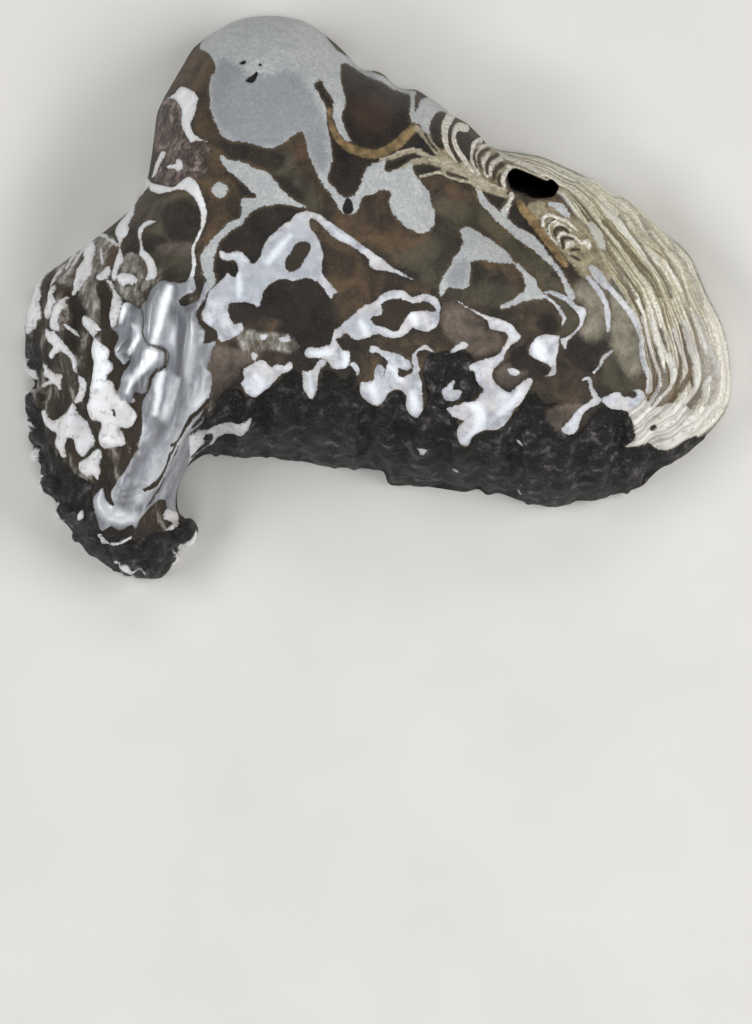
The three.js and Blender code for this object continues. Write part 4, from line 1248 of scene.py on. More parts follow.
# The kinds of mark. Each gives the mesh a value of its name, which the relief and the colours read.
PATCHES = {
    "pale": PALE_PATCHES,
    "white": WHITE_PATCHES,
    "nacre": NACRE_PATCHES,
    "island": ISLAND_PATCHES,
    "dark": DARK_PATCHES,
    "tan": TAN_PATCHES,
    "olive": OLIVE_PATCHES,
    "grey": GREY_PATCHES,
    "rust": RUST_PATCHES,
    "smoke": SMOKE_PATCHES,
    "mist": MIST_PATCHES,
    "mauve": MAUVE_PATCHES,
    "stone": STONE_PATCHES,
    "shade": SHADE_PATCHES,
    "flaw": FLAW_PATCHES,
    "crust": CRUST_PATCHES,
}
STROKES = {
    "pale": PALE_STROKES,
    "white": WHITE_STROKES,
    "nacre": NACRE_STROKES,
    "island": ISLAND_STROKES,
    "gap": GAP_STROKES,
    "ochre": OCHRE_STROKES,
    "sweep": SWEEP_STROKES,
    "cream": CREAM_STROKES,
    "shore": SHORE_STROKES,
    "groove": GROOVE_STROKES,
    "glint": GLINT_STROKES,
    "gleam": GLEAM_STROKES,
    "soft_gleam": SOFT_GLEAM_STROKES,
    "shaded_trough": SHADED_TROUGH_STROKES,
    "seam": SEAM_STROKES,
    "flaw": FLAW_STROKES,
}
DISCS = {"pale": PALE_DISCS}

# Shapes that stand out from the arch, in millimetres: ridges on the lobe, growth ledges, shoulder lumps,
# wrinkles down the belly and beads along the lobe's margin
RIDGES = [
    ([(-35, 2), (-37, -2), (-38, -8), (-39, -15), (-41, -24.5), (-43.5, -34.5)], 1.5, 1.5),
    ([(-31, -3.5), (-32.5, -13.5), (-35, -22.5), (-39, -31)], 1.5, 1.5),
    ([(-46.5, 2), (-46, -7.5), (-47.5, -17.5), (-45, -24.5)], 1.5, 1.5),
    ([(-53.5, -0.5), (-51.5, -8), (-50, -17.5), (-51.5, -24.5)], 1.5, 1.5),
    ([(31, 16.5), (36, 11), (40, 6), (43, -0.5), (44.5, -7.5), (45, -13.5), (44, -16.5)], 0.9, 1.1),
    ([(33.5, 18), (39.5, 11.5), (44.5, 4.5), (47.5, -2.5), (49.5, -9), (50, -13.5), (46.5, -18.5)], 0.9, 1.1),
    ([(36, 19), (44.5, 11), (49.5, 3.5), (52, -4), (53.5, -10), (53.5, -15), (49.5, -19.5)], 0.9, 1.1),
    ([(41, 15.5), (49, 8.5), (53.5, 1), (56, -6.5), (57, -12.5), (56, -17.5), (52.5, -22)], 0.9, 1.1),
    ([(-38.4, -9.4), (-41.1, -12.8), (-42.2, -14.3)], 0.5, 0.9),
    ([(-42.5, -1.9), (-43.2, -3.9)], 0.5, 0.8),
    ([(-40.5, -5.3), (-41, -8.3), (-41.7, -9.9)], 0.5, 0.9),
]
LUMPS = [(-10, -13), (-5.5, -10.5), (-1, -16), (6, -18), (12.5, -15.5), (20.5, -17.5), (15.5, -22)]
LUMP_HEIGHT = 1.2
LUMP_REACH = 2.2
BELLY_LINE = [(-26, -21), (-8, -22.5), (12, -26), (31, -27.5), (44.5, -24.5)]
WRINKLE_HEIGHT = 0.7
WRINKLE_REACH = 5.0
WRINKLE_PITCH = 6.0
BEADS = [
    (36, 400, 9), (36, 438, 8), (37, 455, 6), (50, 484, 9), (66, 511, 8), (82, 515, 6), (184, 532, 11),
    (30, 422, 6), (170, 556, 6), (28, 366, 7), (29, 330, 6), (44, 470, 6), (98, 548, 8), (128, 566, 9),
    (150, 570, 8), (78, 535, 6),
]
BEAD_SHARE = 0.7

# The hollow side: muscle scars as ellipses with their half sizes and turn, and the pallial line's depth
SCARS = [((-33, 12), (6.0, 4.4), 0.9), ((-26.5, 3.5), (2.6, 1.8), 0.6), ((41, -3), (7.0, 5.4), -0.7)]
SCAR_DEPTH = 0.35
PALLIAL_INWARD = 9.5

# Depths inside and outside a mark are kept up to FAR, in chart units. Marks wobble a little on the chart.
FAR = 12.0
THIN_LINE_ALLOWANCE = 0.7
WOBBLE = 0.8
WOBBLE_SIZE = 9.0

# The relief of the worn surface, in millimetres
GRAIN_HEIGHT = 0.05
GRAIN_SIZE = 1.6
SWELL_HEIGHT = 0.3
SWELL_SIZE = 16.0
LEDGE_HEIGHT = 0.34
FINE_LEDGE_HEIGHT = 0.16
FINE_LEDGE_SIZE = 0.42
CRUST_LUMP_HEIGHT = 0.6
CRUST_LUMP_SIZE = 3.0
CRUST_STRETCH = (1.0, 0.55, 1.0)
CRUST_UNDER_BARE = 0.7
FURROW_MIDDLE = 0.45
FURROW_PITCH = 2.9
FURROW_LENGTH = 16.0
FURROW_BEND = 0.4
FURROW_BEND_SIZE = 6.0
PILLOW_HEIGHT = 0.75
PILLOW_REACH = 9.0
LAYER_HEIGHT = 0.14
ISLAND_DEPTH = 0.09
LOBE_ISLAND_DEPTH = 0.09
LOBE_GROUND_HEIGHT = 0.35
LOBE_GROUND_SIZE = 2.2
LOBE_GROUND_STRETCH = (1.0, 0.4, 1.0)

# Marks that stand out or are sunk: their kinds, height, and the width of the slope at their edge on the chart
STEPS = [
    (("pale",), 0.07, 2),
    (("cream", "sweep"), 0.1, 2),
    (("gleam", "soft_gleam"), 0.15, 8),
    (("shaded_trough",), -0.2, 8),
    (("seam",), -0.15, 2),
    (("gap",), -0.12, 2),
    (("groove",), -0.3, 2),
    (("flaw",), -0.5, 2),
]

# How softly places past the solid's box are eased back, in millimetres
EASE = 0.3

# The order of the valve's materials
OUTSIDE, HOLLOW, EDGE = range(3)


def near(chart, line, reach):
    line = np.asarray(line, float)
    low, high = line.min(axis=0) - reach, line.max(axis=0) + reach
    return np.flatnonzero(((chart > low) & (chart < high)).all(axis=1))


def patch(chart, outline):
    """How far inside an outline each chart place is, in chart units."""
    loop = spline(outline, OUTLINE_SPACING, closed=True)
    depth = np.full(len(chart), -FAR)
    close = near(chart, loop, FAR)
    gap = distance_to(chart[close], loop, closed=True)
    depth[close] = np.where(is_inside(chart[close], loop), gap, -gap)
    return np.clip(depth, -FAR, FAR)


def stroke(chart, line, widths):
    """How far inside a stroke each chart place is, in chart units."""
    smooth_line = spline(line, STROKE_SPACING)
    share = np.linspace(0, 1, len(smooth_line))
    wide = np.interp(share, np.linspace(0, 1, len(widths)), widths) + THIN_LINE_ALLOWANCE
    depth = np.full(len(chart), -FAR)
    close = near(chart, smooth_line, FAR + max(widths))
    depth[close] = -distance_to(chart[close], smooth_line, widths=wide)
    return np.clip(depth, -FAR, FAR)


def union(*depths):
    return np.maximum.reduce(depths)


def disc(chart, centre, radius):
    """How far inside a round mark each chart place is, in chart units."""
    return np.clip(radius - np.hypot(*(chart - centre).T), -FAR, FAR)


def mark_depth(chart, kind):
    """The greatest depth of all the marks of one kind."""
    depths = [patch(chart, outline) for outline in PATCHES.get(kind, {}).values()]
    depths += [stroke(chart, line, widths) for line, widths in STROKES.get(kind, {}).values()]
    depths += [disc(chart, centre, radius) for centre, radius in DISCS.get(kind, {}).values()]
    return union(*depths)


def past(values, start, length):
    """Rises from 0 to 1 over a length that begins at start. A length below 0 runs the other way."""
    return smooth((values - start) / length)


def mark_fields(chart):
    """The depth of each kind of mark at every chart place, and where the valve's zones are."""
    flat = np.column_stack([chart, np.zeros(len(chart))])
    chart = chart + np.column_stack([rough(flat, WOBBLE_SIZE, 3, seed) for seed in (3, 5)]) * WOBBLE
    u, v = chart.T
    fields = {kind: mark_depth(chart, kind) for kind in {**PATCHES, **STROKES}}
    outer = distance_to(chart, GROWTH_OUTER)
    inner = distance_to(chart, GROWTH_INNER)
    fields["growth"] = patch(chart, [*GROWTH_OUTER, *GROWTH_INNER[::-1]])
    fields["across"] = inner / (inner + outer + 1e-6)
    fields["low_rear"] = past(v, *LOW_REAR)
    behind_column = past(v, *COLUMN_TOP) * past(u, *COLUMN_REAR)
    fields["front"] = past(u, *FRONT) * (1 - behind_column)
    fields["lobe"] = past(u, *LOBE_REAR) * past(v, *LOBE_TOP)
    return fields


def raised_shapes(points, chart):
    """Ridges, lumps, wrinkles and beads, which the solid has too."""
    x = points[:, 0]
    places = points[:, :2]
    height = np.zeros(len(points))
    for line, tall, reach in RIDGES:
        close = near(places, line, 3 * reach)
        height[close] += tall * bell(distance_to(places[close], line), reach)
    for centre in LUMPS:
        height += LUMP_HEIGHT * bell(np.hypot(*(places - centre).T), LUMP_REACH)
    belly = bell(distance_to(places, BELLY_LINE), WRINKLE_REACH)
    height += WRINKLE_HEIGHT * belly * np.sin(2 * np.pi * x / WRINKLE_PITCH)
    for u, v, radius in BEADS:
        gap = np.hypot(chart[:, 0] - u, chart[:, 1] - v) / radius
        height += BEAD_SHARE * radius * CHART_UNIT * np.sqrt(np.clip(1 - gap * gap, 0, 1))
    return height


def crust_relief(points):
    """Lumps with furrows between them that run down to the belly edge."""
    lumps = rough(points * CRUST_STRETCH, CRUST_LUMP_SIZE, 2, seed=11)
    bend = FURROW_BEND * noise(points, FURROW_BEND_SIZE, 23)
    across = points[:, 0] / FURROW_PITCH + bend
    rows = np.column_stack([across, points[:, 1] / FURROW_LENGTH, np.zeros(len(points))])
    return CRUST_LUMP_HEIGHT * lumps + FURROW_MIDDLE - np.abs(noise(rows, 1.0, 61))


def growth_relief(points, across):
    """Coarse and fine ledges along the growth zone."""
    turns = np.column_stack([across * GROWTH_TURNS, points[:, :2] / GROWTH_LENGTH])
    return LEDGE_HEIGHT * noise(turns, 1.0, 51) + FINE_LEDGE_HEIGHT * noise(turns, FINE_LEDGE_SIZE, 53)


def relief_height(points, chart, fields):
    """How far the worn surface stands out from the even arch, in millimetres."""
    lobe = fields["lobe"]
    bare = union(fields["white"], fields["nacre"])
    bare_share = smooth(bare / 2 + 0.5)
    unpolished = 1 - smooth(fields["nacre"] / 3 + 0.3)
    height = raised_shapes(points, chart)
    height += unpolished * GRAIN_HEIGHT * rough(points, GRAIN_SIZE, 2, seed=31)
    height += SWELL_HEIGHT * noise(points, SWELL_SIZE, 41)
    height += smooth(fields["growth"] / 4 + 0.5) * growth_relief(points, fields["across"])
    height += smooth(fields["crust"] / 3 + 0.5) * (1 - CRUST_UNDER_BARE * bare_share) * crust_relief(points)
    pillow = smooth(lobe) * np.sqrt(np.clip(bare / PILLOW_REACH, 0, 1)) * PILLOW_HEIGHT
    height += np.maximum(pillow, (1 - lobe) * bare_share * LAYER_HEIGHT)
    height -= smooth(fields["island"] / 2 + 0.4) * (ISLAND_DEPTH + LOBE_ISLAND_DEPTH * lobe)
    for kinds, step, slope in STEPS:
        height += step * smooth(union(*(fields[kind] for kind in kinds)) / slope + 0.5)
    ground = rough(points * LOBE_GROUND_STRETCH, LOBE_GROUND_SIZE, 3, seed=71)
    height += smooth(-bare / 3) * lobe * LOBE_GROUND_HEIGHT * ground
    return height


def hollow_fields(places):
    """Marks of the hollow side: scars, and how far in from the margin each place is, in millimetres."""
    scar = np.full(len(places), -FAR)
    for centre, (long_half, short_half), turn in SCARS:
        offset = places - centre
        along = offset @ (math.cos(turn), math.sin(turn))
        over = offset @ (-math.sin(turn), math.cos(turn))
        scar = np.maximum(scar, (1 - np.hypot(along / long_half, over / short_half)) * short_half)
    inward = distance_to(places, COARSE_OUTLINE, closed=True)
    return {"scar": scar, "inward": inward}


def make_mesh(name, points, faces, fields, surfaces):
    mesh = bpy.data.meshes.new(name)
    mesh.vertices.add(len(points))
    mesh.vertices.foreach_set("co", (points * MM).ravel())
    mesh.loops.add(len(faces) * 3)
    mesh.loops.foreach_set("vertex_index", faces.ravel().astype(np.int32))
    mesh.polygons.add(len(faces))
    mesh.polygons.foreach_set("loop_start", np.arange(0, len(faces) * 3, 3, dtype=np.int32))
    mesh.polygons.foreach_set("material_index", surfaces.astype(np.int32))
    mesh.update(calc_edges=True)
    mesh.polygons.foreach_set("use_smooth", np.ones(len(faces), bool))
    for field, values in fields.items():
        attribute = mesh.attributes.new(field, "FLOAT", "POINT")
        attribute.data.foreach_set("value", values.astype(np.float32))
    mesh.validate()
    return mesh


def keep_in_box(points, low, high):
    """Eases places that stand out past the solid's box back inside it."""
    for axis in range(2):
        points[:, axis] = low[axis] + EASE * np.logaddexp(0, (points[:, axis] - low[axis]) / EASE)
    for axis in range(3):
        points[:, axis] = high[axis] - EASE * np.logaddexp(0, (high[axis] - points[:, axis]) / EASE)


def crowded_depths(depth, rings, crowding):
    """Distances from the margin to each ring, closer together near the margin."""
    return depth * np.linspace(0, 1, rings + 1) ** crowding


def outer_side(hole, low, high):
    """The outer side with its relief: points, faces, margin, hole and the fields of its marks."""
    depths = crowded_depths(SIDE_DEPTH, SIDE_RINGS, SIDE_CROWDING)
    start = np.zeros(len(OUTLINE))
    points, faces, rim, hole_edge = sheet_mesh(depths, start, SPACING, outer_height, hole)
    chart = to_chart(points)
    fields = mark_fields(chart)
    taper = smooth(points[:, 2] / RELIEF_STARTS)
    relief = relief_height(points, chart, fields) * taper
    points = points + vertex_normals(points, faces) * relief[:, None]
    points[rim, 2] = 0.0
    keep_in_box(points, low, high)
    return points, faces, rim, hole_edge, fields


def hollow_side(hole):
    """The hollow side with its scars: points, faces, lip, hole and the fields of its marks."""
    depths = crowded_depths(LIP_DEPTH, LIP_RINGS, LIP_CROWDING)
    start = rim_width(OUTLINE)
    points, faces, lip, hole_edge = sheet_mesh(depths, start, HOLLOW_SPACING, hollow_height, hole)
    fields = hollow_fields(points[:, :2])
    points[:, 2] += SCAR_DEPTH * smooth(fields["scar"]) * smooth(points[:, 2] / 2)
    return points, faces, lip, hole_edge, fields


def make_valve(low, high):
    """The whole valve: both sides, the flat rim that joins them and the wall of the worn hole."""
    hole = from_chart(spline(HOLE, HOLE_SPACING, closed=True))
    outer, outer_faces, rim, hole_top, fields = outer_side(hole, low, high)
    hollow, hollow_faces, lip, hole_base, inner_fields = hollow_side(hole)
    start = len(outer)
    shares = np.arange(1, HOLE_WALL_RINGS) / HOLE_WALL_RINGS
    rings = [outer[hole_top] * (1 - share) + hollow[hole_base] * share for share in shares]
    points = np.vstack([outer, hollow, *rings])
    first = start + len(hollow)
    wall = [hole_top]
    wall += [np.arange(len(hole)) + first + k * len(hole) for k in range(len(rings))]
    wall.append(hole_base + start)
    walls = np.vstack([strip(a, b)[:, ::-1] for a, b in zip(wall, wall[1:])])
    rim_faces = strip(rim, lip + start)[:, ::-1]
    faces = np.vstack([outer_faces, walls, rim_faces, hollow_faces[:, ::-1] + start])
    surfaces = np.repeat([OUTSIDE, EDGE, EDGE, HOLLOW],
                         [len(outer_faces), len(walls), len(rim_faces), len(hollow_faces)])
    padded = {name: np.concatenate([values, np.full(len(points) - start, -FAR)])
              for name, values in fields.items()}
    for name, values in inner_fields.items():
        padded[name] = np.concatenate([np.zeros(start), values, np.zeros(len(points) - first)])
    print("valve:", len(points), "points", len(faces), "triangles")
    return make_mesh("left_valve_worn", points, faces, padded, surfaces)


class Tree:
    """A material's nodes, with short calls for the ones used here."""

    def __init__(self, name):
        self.material = bpy.data.materials.new(name)
        self.material.use_nodes = True
        self.nodes = self.material.node_tree.nodes
        self.links = self.material.node_tree.links
        self.shader = self.nodes["Principled BSDF"]
        self.place = self.nodes.new("ShaderNodeTexCoord").outputs["Object"]

    def join(self, value, socket):
        """Links another node's output, or sets a number or a screen colour."""
        if isinstance(value, bpy.types.NodeSocket):
            self.links.new(value, socket)
        elif isinstance(value, tuple):
            socket.default_value = srgb(*value)
        else:
            socket.default_value = value

    def field(self, name):
        node = self.nodes.new("ShaderNodeAttribute")
        node.attribute_name = name
        return node.outputs["Fac"]

    def math(self, operation, a, b=0.0):
        node = self.nodes.new("ShaderNodeMath")
        node.operation = operation
        self.join(a, node.inputs[0])
        self.join(b, node.inputs[1])
        return node.outputs[0]

    def times(self, a, b):
        return self.math("MULTIPLY", a, b)

    def plus(self, a, b):
        return self.math("ADD", a, b)

    def most(self, a, b):
        return self.math("MAXIMUM", a, b)

    def less(self, a, b):
        return self.math("SUBTRACT", a, b)

    def noise(self, size, detail=4.0, roughness=0.6, warp=0.0, stretch=None, place=None):
        """Noise from 0 to 1 with lumps of the given size in millimetres."""
        place = place or self.place
        if stretch:
            mapping = self.nodes.new("ShaderNodeMapping")
            mapping.inputs["Scale"].default_value = stretch
            self.links.new(place, mapping.inputs["Vector"])
            place = mapping.outputs[0]
        node = self.nodes.new("ShaderNodeTexNoise")
        node.inputs["Scale"].default_value = 1 / (size * MM)
        node.inputs["Detail"].default_value = detail
        node.inputs["Roughness"].default_value = roughness
        node.inputs["Distortion"].default_value = warp
        self.links.new(place, node.inputs["Vector"])
        return node.outputs["Fac"]

    def range(self, value, low, high, out_low=0.0, out_high=1.0, kind="SMOOTHSTEP"):
        node = self.nodes.new("ShaderNodeMapRange")
        node.interpolation_type = kind
        self.join(value, node.inputs["Value"])
        self.join(low, node.inputs["From Min"])
        self.join(high, node.inputs["From Max"])
        self.join(out_low, node.inputs["To Min"])
        self.join(out_high, node.inputs["To Max"])
        return node.outputs["Result"]

    def ramp(self, value, *stops):
        """A screen colour that changes with value through stops of place and colour."""
        node = self.nodes.new("ShaderNodeValToRGB")
        band = node.color_ramp
        while len(band.elements) < len(stops):
            band.elements.new(0.5)
        for element, (at, colour) in zip(band.elements, stops):
            element.position = at
            element.color = srgb(*colour)
        self.links.new(value, node.inputs["Fac"])
        return node.outputs["Color"]

    def mix(self, share, a, b):
        node = self.nodes.new("ShaderNodeMix")
        node.data_type = "RGBA"
        self.join(share, node.inputs[0])
        self.join(a, node.inputs[6])
        self.join(b, node.inputs[7])
        return node.outputs[2]

    def scale(self, colour, factor):
        node = self.nodes.new("ShaderNodeVectorMath")
        node.operation = "SCALE"
        self.join(colour, node.inputs[0])
        self.join(factor, node.inputs["Scale"])
        return node.outputs[0]

    def stain(self, colour, mask, share, noise, *stops):
        """A colour with a mottled one over it, as strong as share where the mask is 1."""
        return self.mix(self.times(mask, share), colour, self.ramp(noise, *stops))

    def blend(self, share, a, b):
        """A number between a and b."""
        node = self.nodes.new("ShaderNodeMix")
        self.join(share, node.inputs[0])
        self.join(a, node.inputs[2])
        self.join(b, node.inputs[3])
        return node.outputs[0]

    def bump(self, height, distance):
        """Tilts the surface as if it were height times distance taller, in millimetres."""
        node = self.nodes.new("ShaderNodeBump")
        node.inputs["Strength"].default_value = 1.0
        node.inputs["Distance"].default_value = distance * MM
        self.join(height, node.inputs["Height"])
        self.join(node.outputs[0], self.shader.inputs["Normal"])


def srgb(red, green, blue):
    """A colour given in 0 to 255 screen values, as Blender wants it."""
    return (*((v / 255) ** 2.2 for v in (red, green, blue)), 1.0)


class WornOutside(Tree):
    """The outer side's nodes: what its layers share, and a mask for each kind of mark."""

    def __init__(self, name):
        super().__init__(name)
        ragged = self.times(self.less(self.noise(0.8, 5.0, 0.65), 0.5), 4.4)
        fine = self.times(self.less(self.noise(0.25, 3.0, 0.6), 0.5), 4.0)
        self.edge = self.plus(ragged, fine)
        self.blotch = self.noise(6.0, 6.0, 0.62, warp=0.6)
        self.grain = self.noise(0.35, 4.0, 0.7)
        self.mottle = self.noise(0.55, 5.0, 0.8)
        self.cloud = self.noise(2.4, 5.0, 0.66)
        self.tint = self.noise(5.0, 4.0, 0.6)
        self.speck = self.range(self.noise(0.4, 3.0, 0.6), 0.6, 0.7)
        self.dark = self.ramp(self.noise(4.0, 5.0), (0.35, (26, 24, 22)), (0.65, (48, 41, 35)))
        self.growth = self.mask("growth", 2.0)
        self.mauve = self.mask("mauve", 3.5, 1.8)
        self.shade = self.mask("shade", 5.0, 2.5)
        self.lines = self.growth_lines()
        self.low_lines = self.ramp(
            self.lines, (0.36, (66, 56, 46)), (0.44, (112, 100, 80)), (0.49, (184, 178, 160)),
            (0.56, (222, 220, 210)), (0.68, (240, 240, 236)),
        )

    def mask(self, kind, softness=0.7, raggedness=1.0, shift=0.0):
        """From 0 to 1 where a kind of mark is, with a worn edge."""
        depth = self.plus(self.field(kind), self.times(self.edge, raggedness))
        return self.range(depth, -softness - shift, softness - shift)

    def growth_lines(self):
        """Noise from 0 to 1 whose lines run along the growth zone."""
        spread = self.nodes.new("ShaderNodeCombineXYZ")
        parts = self.nodes.new("ShaderNodeSeparateXYZ")
        self.join(self.place, parts.inputs[0])
        self.join(self.times(self.field("across"), LINE_TURNS), spread.inputs[0])
        for axis in range(2):
            self.join(self.math("DIVIDE", parts.outputs[axis], LINE_LENGTH * MM), spread.inputs[axis + 1])
        return self.noise(1 / MM, 4.0, 0.66, place=spread.outputs[0])


def ground_colour(t):
    """The dark shell under the pale marks: brown blotches, with fields of other tones."""
    colour = t.ramp(t.blotch, (0.36, (38, 34, 29)), (0.46, (51, 45, 38)), (0.55, (66, 57, 47)),
                    (0.64, (88, 73, 56)))
    colour = t.stain(colour, t.mask("rust", 5.0, 3.0), 0.7, t.blotch,
                     (0.4, (60, 50, 40)), (0.6, (94, 76, 56)))
    colour = t.stain(colour, t.mask("olive", 4.0, 1.5), 0.8, t.blotch,
                     (0.38, (58, 55, 46)), (0.62, (88, 84, 69)))
    colour = t.stain(colour, t.field("lobe"), 0.75, t.noise(2.5, 5.0, 0.65, stretch=(1.0, 0.4, 1.0)),
                     (0.38, (30, 27, 23)), (0.5, (54, 48, 41)), (0.57, (94, 88, 77)), (0.64, (160, 157, 150)))
    dark_mask = t.mask("dark", 1.2)
    colour = t.mix(dark_mask, colour, t.dark)
    rusty = t.times(dark_mask, t.mask("rust", 6.0, 2.0))
    colour = t.mix(t.times(rusty, 0.5), colour, (74, 54, 42))
    colour = t.mix(t.times(t.mask("smoke", 3.5, 1.6, 2.0), 0.85), colour, t.dark)
    colour = t.stain(colour, t.mask("stone", 1.6, 1.5), 0.9, t.noise(2.2, 6.0, 0.7),
                     (0.36, (46, 42, 40)), (0.48, (84, 74, 70)), (0.55, (112, 98, 92)),
                     (0.63, (164, 148, 138)))
    colour = t.stain(colour, t.mauve, 0.85, t.blotch, (0.4, (74, 66, 59)), (0.6, (112, 101, 92)))
    colour = t.stain(colour, t.mask("mist", 2.5, 1.4), 0.9, t.noise(1.6, 6.0, 0.7, stretch=(1.0, 0.45, 1.0)),
                     (0.38, (84, 78, 68)), (0.47, (118, 114, 105)), (0.54, (148, 145, 137)),
                     (0.62, (192, 190, 186)))
    colour = t.stain(colour, t.mask("grey", 7.0, 1.4), 1.0, t.noise(4.0, 5.0),
                     (0.38, (100, 96, 83)), (0.62, (144, 139, 124)))
    return t.mix(t.times(t.speck, 0.16), colour, (140, 132, 122))


def growth_colour(t):
    """The growth zone: gold lines above, brown and white ones below, grooves, painted light at the outer
    edge.
    """
    low_rear = t.field("low_rear")
    upper = t.ramp(t.lines, (0.36, (106, 98, 80)), (0.44, (152, 144, 119)), (0.5, (186, 180, 156)),
                   (0.56, (213, 211, 196)), (0.64, (238, 237, 231)))
    gold = t.range(t.noise(7.0, 5.0, 0.65, stretch=(1.0, 0.5, 1.0)), 0.48, 0.62, 0.0, 0.5)
    colour = t.mix(low_rear, t.mix(gold, upper, (168, 146, 100)), t.low_lines)
    low_groove = t.ramp(t.blotch, (0.4, (78, 66, 52)), (0.6, (104, 88, 68)))
    groove = t.mix(low_rear, (108, 99, 78), low_groove)
    colour = t.mix(t.times(t.mask("groove", 0.8, 0.7), 0.85), colour, groove)
    # Painted light: the zone whitens towards its outer edge, more so low at the rear
    worn_and_lit_edge = t.times(t.range(t.field("across"), 0.5, 1.0, 0.0, 0.7), t.blend(low_rear, 0.5, 1.15))
    colour = t.mix(worn_and_lit_edge, colour, (240, 237, 225))
    return t.scale(colour, t.range(t.mottle, 0.38, 0.62, 0.84, 1.1, kind="LINEAR"))


def pale_colour(t):
    """The dusty pale layer of the cap and the marks near it, with clouds and a darker low part."""
    colour = t.ramp(t.mottle, (0.36, (168, 170, 170)), (0.5, (181, 184, 184)), (0.64, (197, 200, 198)))
    colour = t.mix(t.range(t.cloud, 0.4, 0.6, 0.0, 0.5), colour, (160, 164, 170))
    colour = t.mix(t.times(t.shade, 0.65), colour, (126, 129, 136))
    return t.mix(t.times(t.growth, 0.6), colour, (184, 180, 166))


def white_colour(t):
    """The shiny white layer: clouds, painted shade and glints, growth lines, painted edge shade, stains."""
    colour = t.ramp(t.cloud, (0.38, (152, 155, 164)), (0.48, (178, 182, 190)), (0.6, (206, 211, 220)))
    colour = t.mix(t.times(t.field("front"), 0.7), colour, (238, 239, 240))
    colour = t.mix(t.range(t.tint, 0.44, 0.6, 0.0, 0.45), colour, (212, 206, 202))
    colour = t.mix(t.times(t.shade, 0.6), colour, (160, 166, 176))
    colour = t.mix(t.times(t.mask("glint", 4.0, 0.8), 0.8), colour, (240, 246, 255))
    lined = t.mix(0.4, t.low_lines, (240, 238, 232))
    colour = t.mix(t.times(t.growth, 0.8), colour, lined)
    # Painted shade: the white marks turn grey just inside their rounded edges
    depth = t.plus(t.field("white"), t.times(t.edge, 2.0))
    colour = t.mix(t.range(depth, 3.2, 0.0, 0.0, 0.4), colour, (156, 154, 152))
    stain = t.times(t.range(t.noise(1.3, 6.0, 0.75), 0.52, 0.62), t.most(t.field("lobe"), t.growth))
    return t.mix(t.times(stain, 0.45), colour, (128, 120, 106))


def silver_colour(t):
    """The pearly column: streaks, troughs in painted shade, gleams in painted highlight, thin dark seams."""
    streak = t.noise(2.4, 5.0, 0.6, stretch=(1.0, 0.22, 1.0))
    colour = t.ramp(streak, (0.36, (116, 118, 124)), (0.5, (138, 141, 147)), (0.64, (172, 175, 180)))
    # Painted shade in the troughs, painted sheen and highlights along the gleams, then the dark seams
    for kind, softness, raggedness, share, tone in (
        ("shaded_trough", 5.0, 0.6, 1.0, (106, 107, 113)),
        ("soft_gleam", 4.5, 0.6, 0.75, (206, 210, 214)),
        ("gleam", 3.0, 0.5, 1.0, (244, 250, 255)),
        ("seam", 0.5, 0.2, 0.85, (92, 86, 84)),
    ):
        colour = t.mix(t.times(t.mask(kind, softness, raggedness), share), colour, tone)
    return colour


def crust_colour(t):
    """The black crust: furrows of painted shade and light down it, grains, and specks of painted glint."""
    colour = t.ramp(t.noise(2.2, 6.0, 0.62), (0.38, (14, 13, 13)), (0.5, (28, 27, 26)), (0.57, (46, 44, 44)),
                    (0.66, (86, 82, 84)))
    # Painted shade and light: dark streaks like furrows, with lighter ones between, run down the crust
    furrow_shade = t.noise(2.6, 4.0, 0.55, stretch=(1.0, 0.22, 1.0))
    colour = t.scale(colour, t.range(furrow_shade, 0.42, 0.56, 0.55, 1.15))
    colour = t.scale(colour, t.range(t.grain, 0.36, 0.64, 0.6, 1.5, kind="LINEAR"))
    # Painted glints: a few pale specks on the crust
    return t.mix(t.times(t.speck, 0.3), colour, (132, 130, 128))


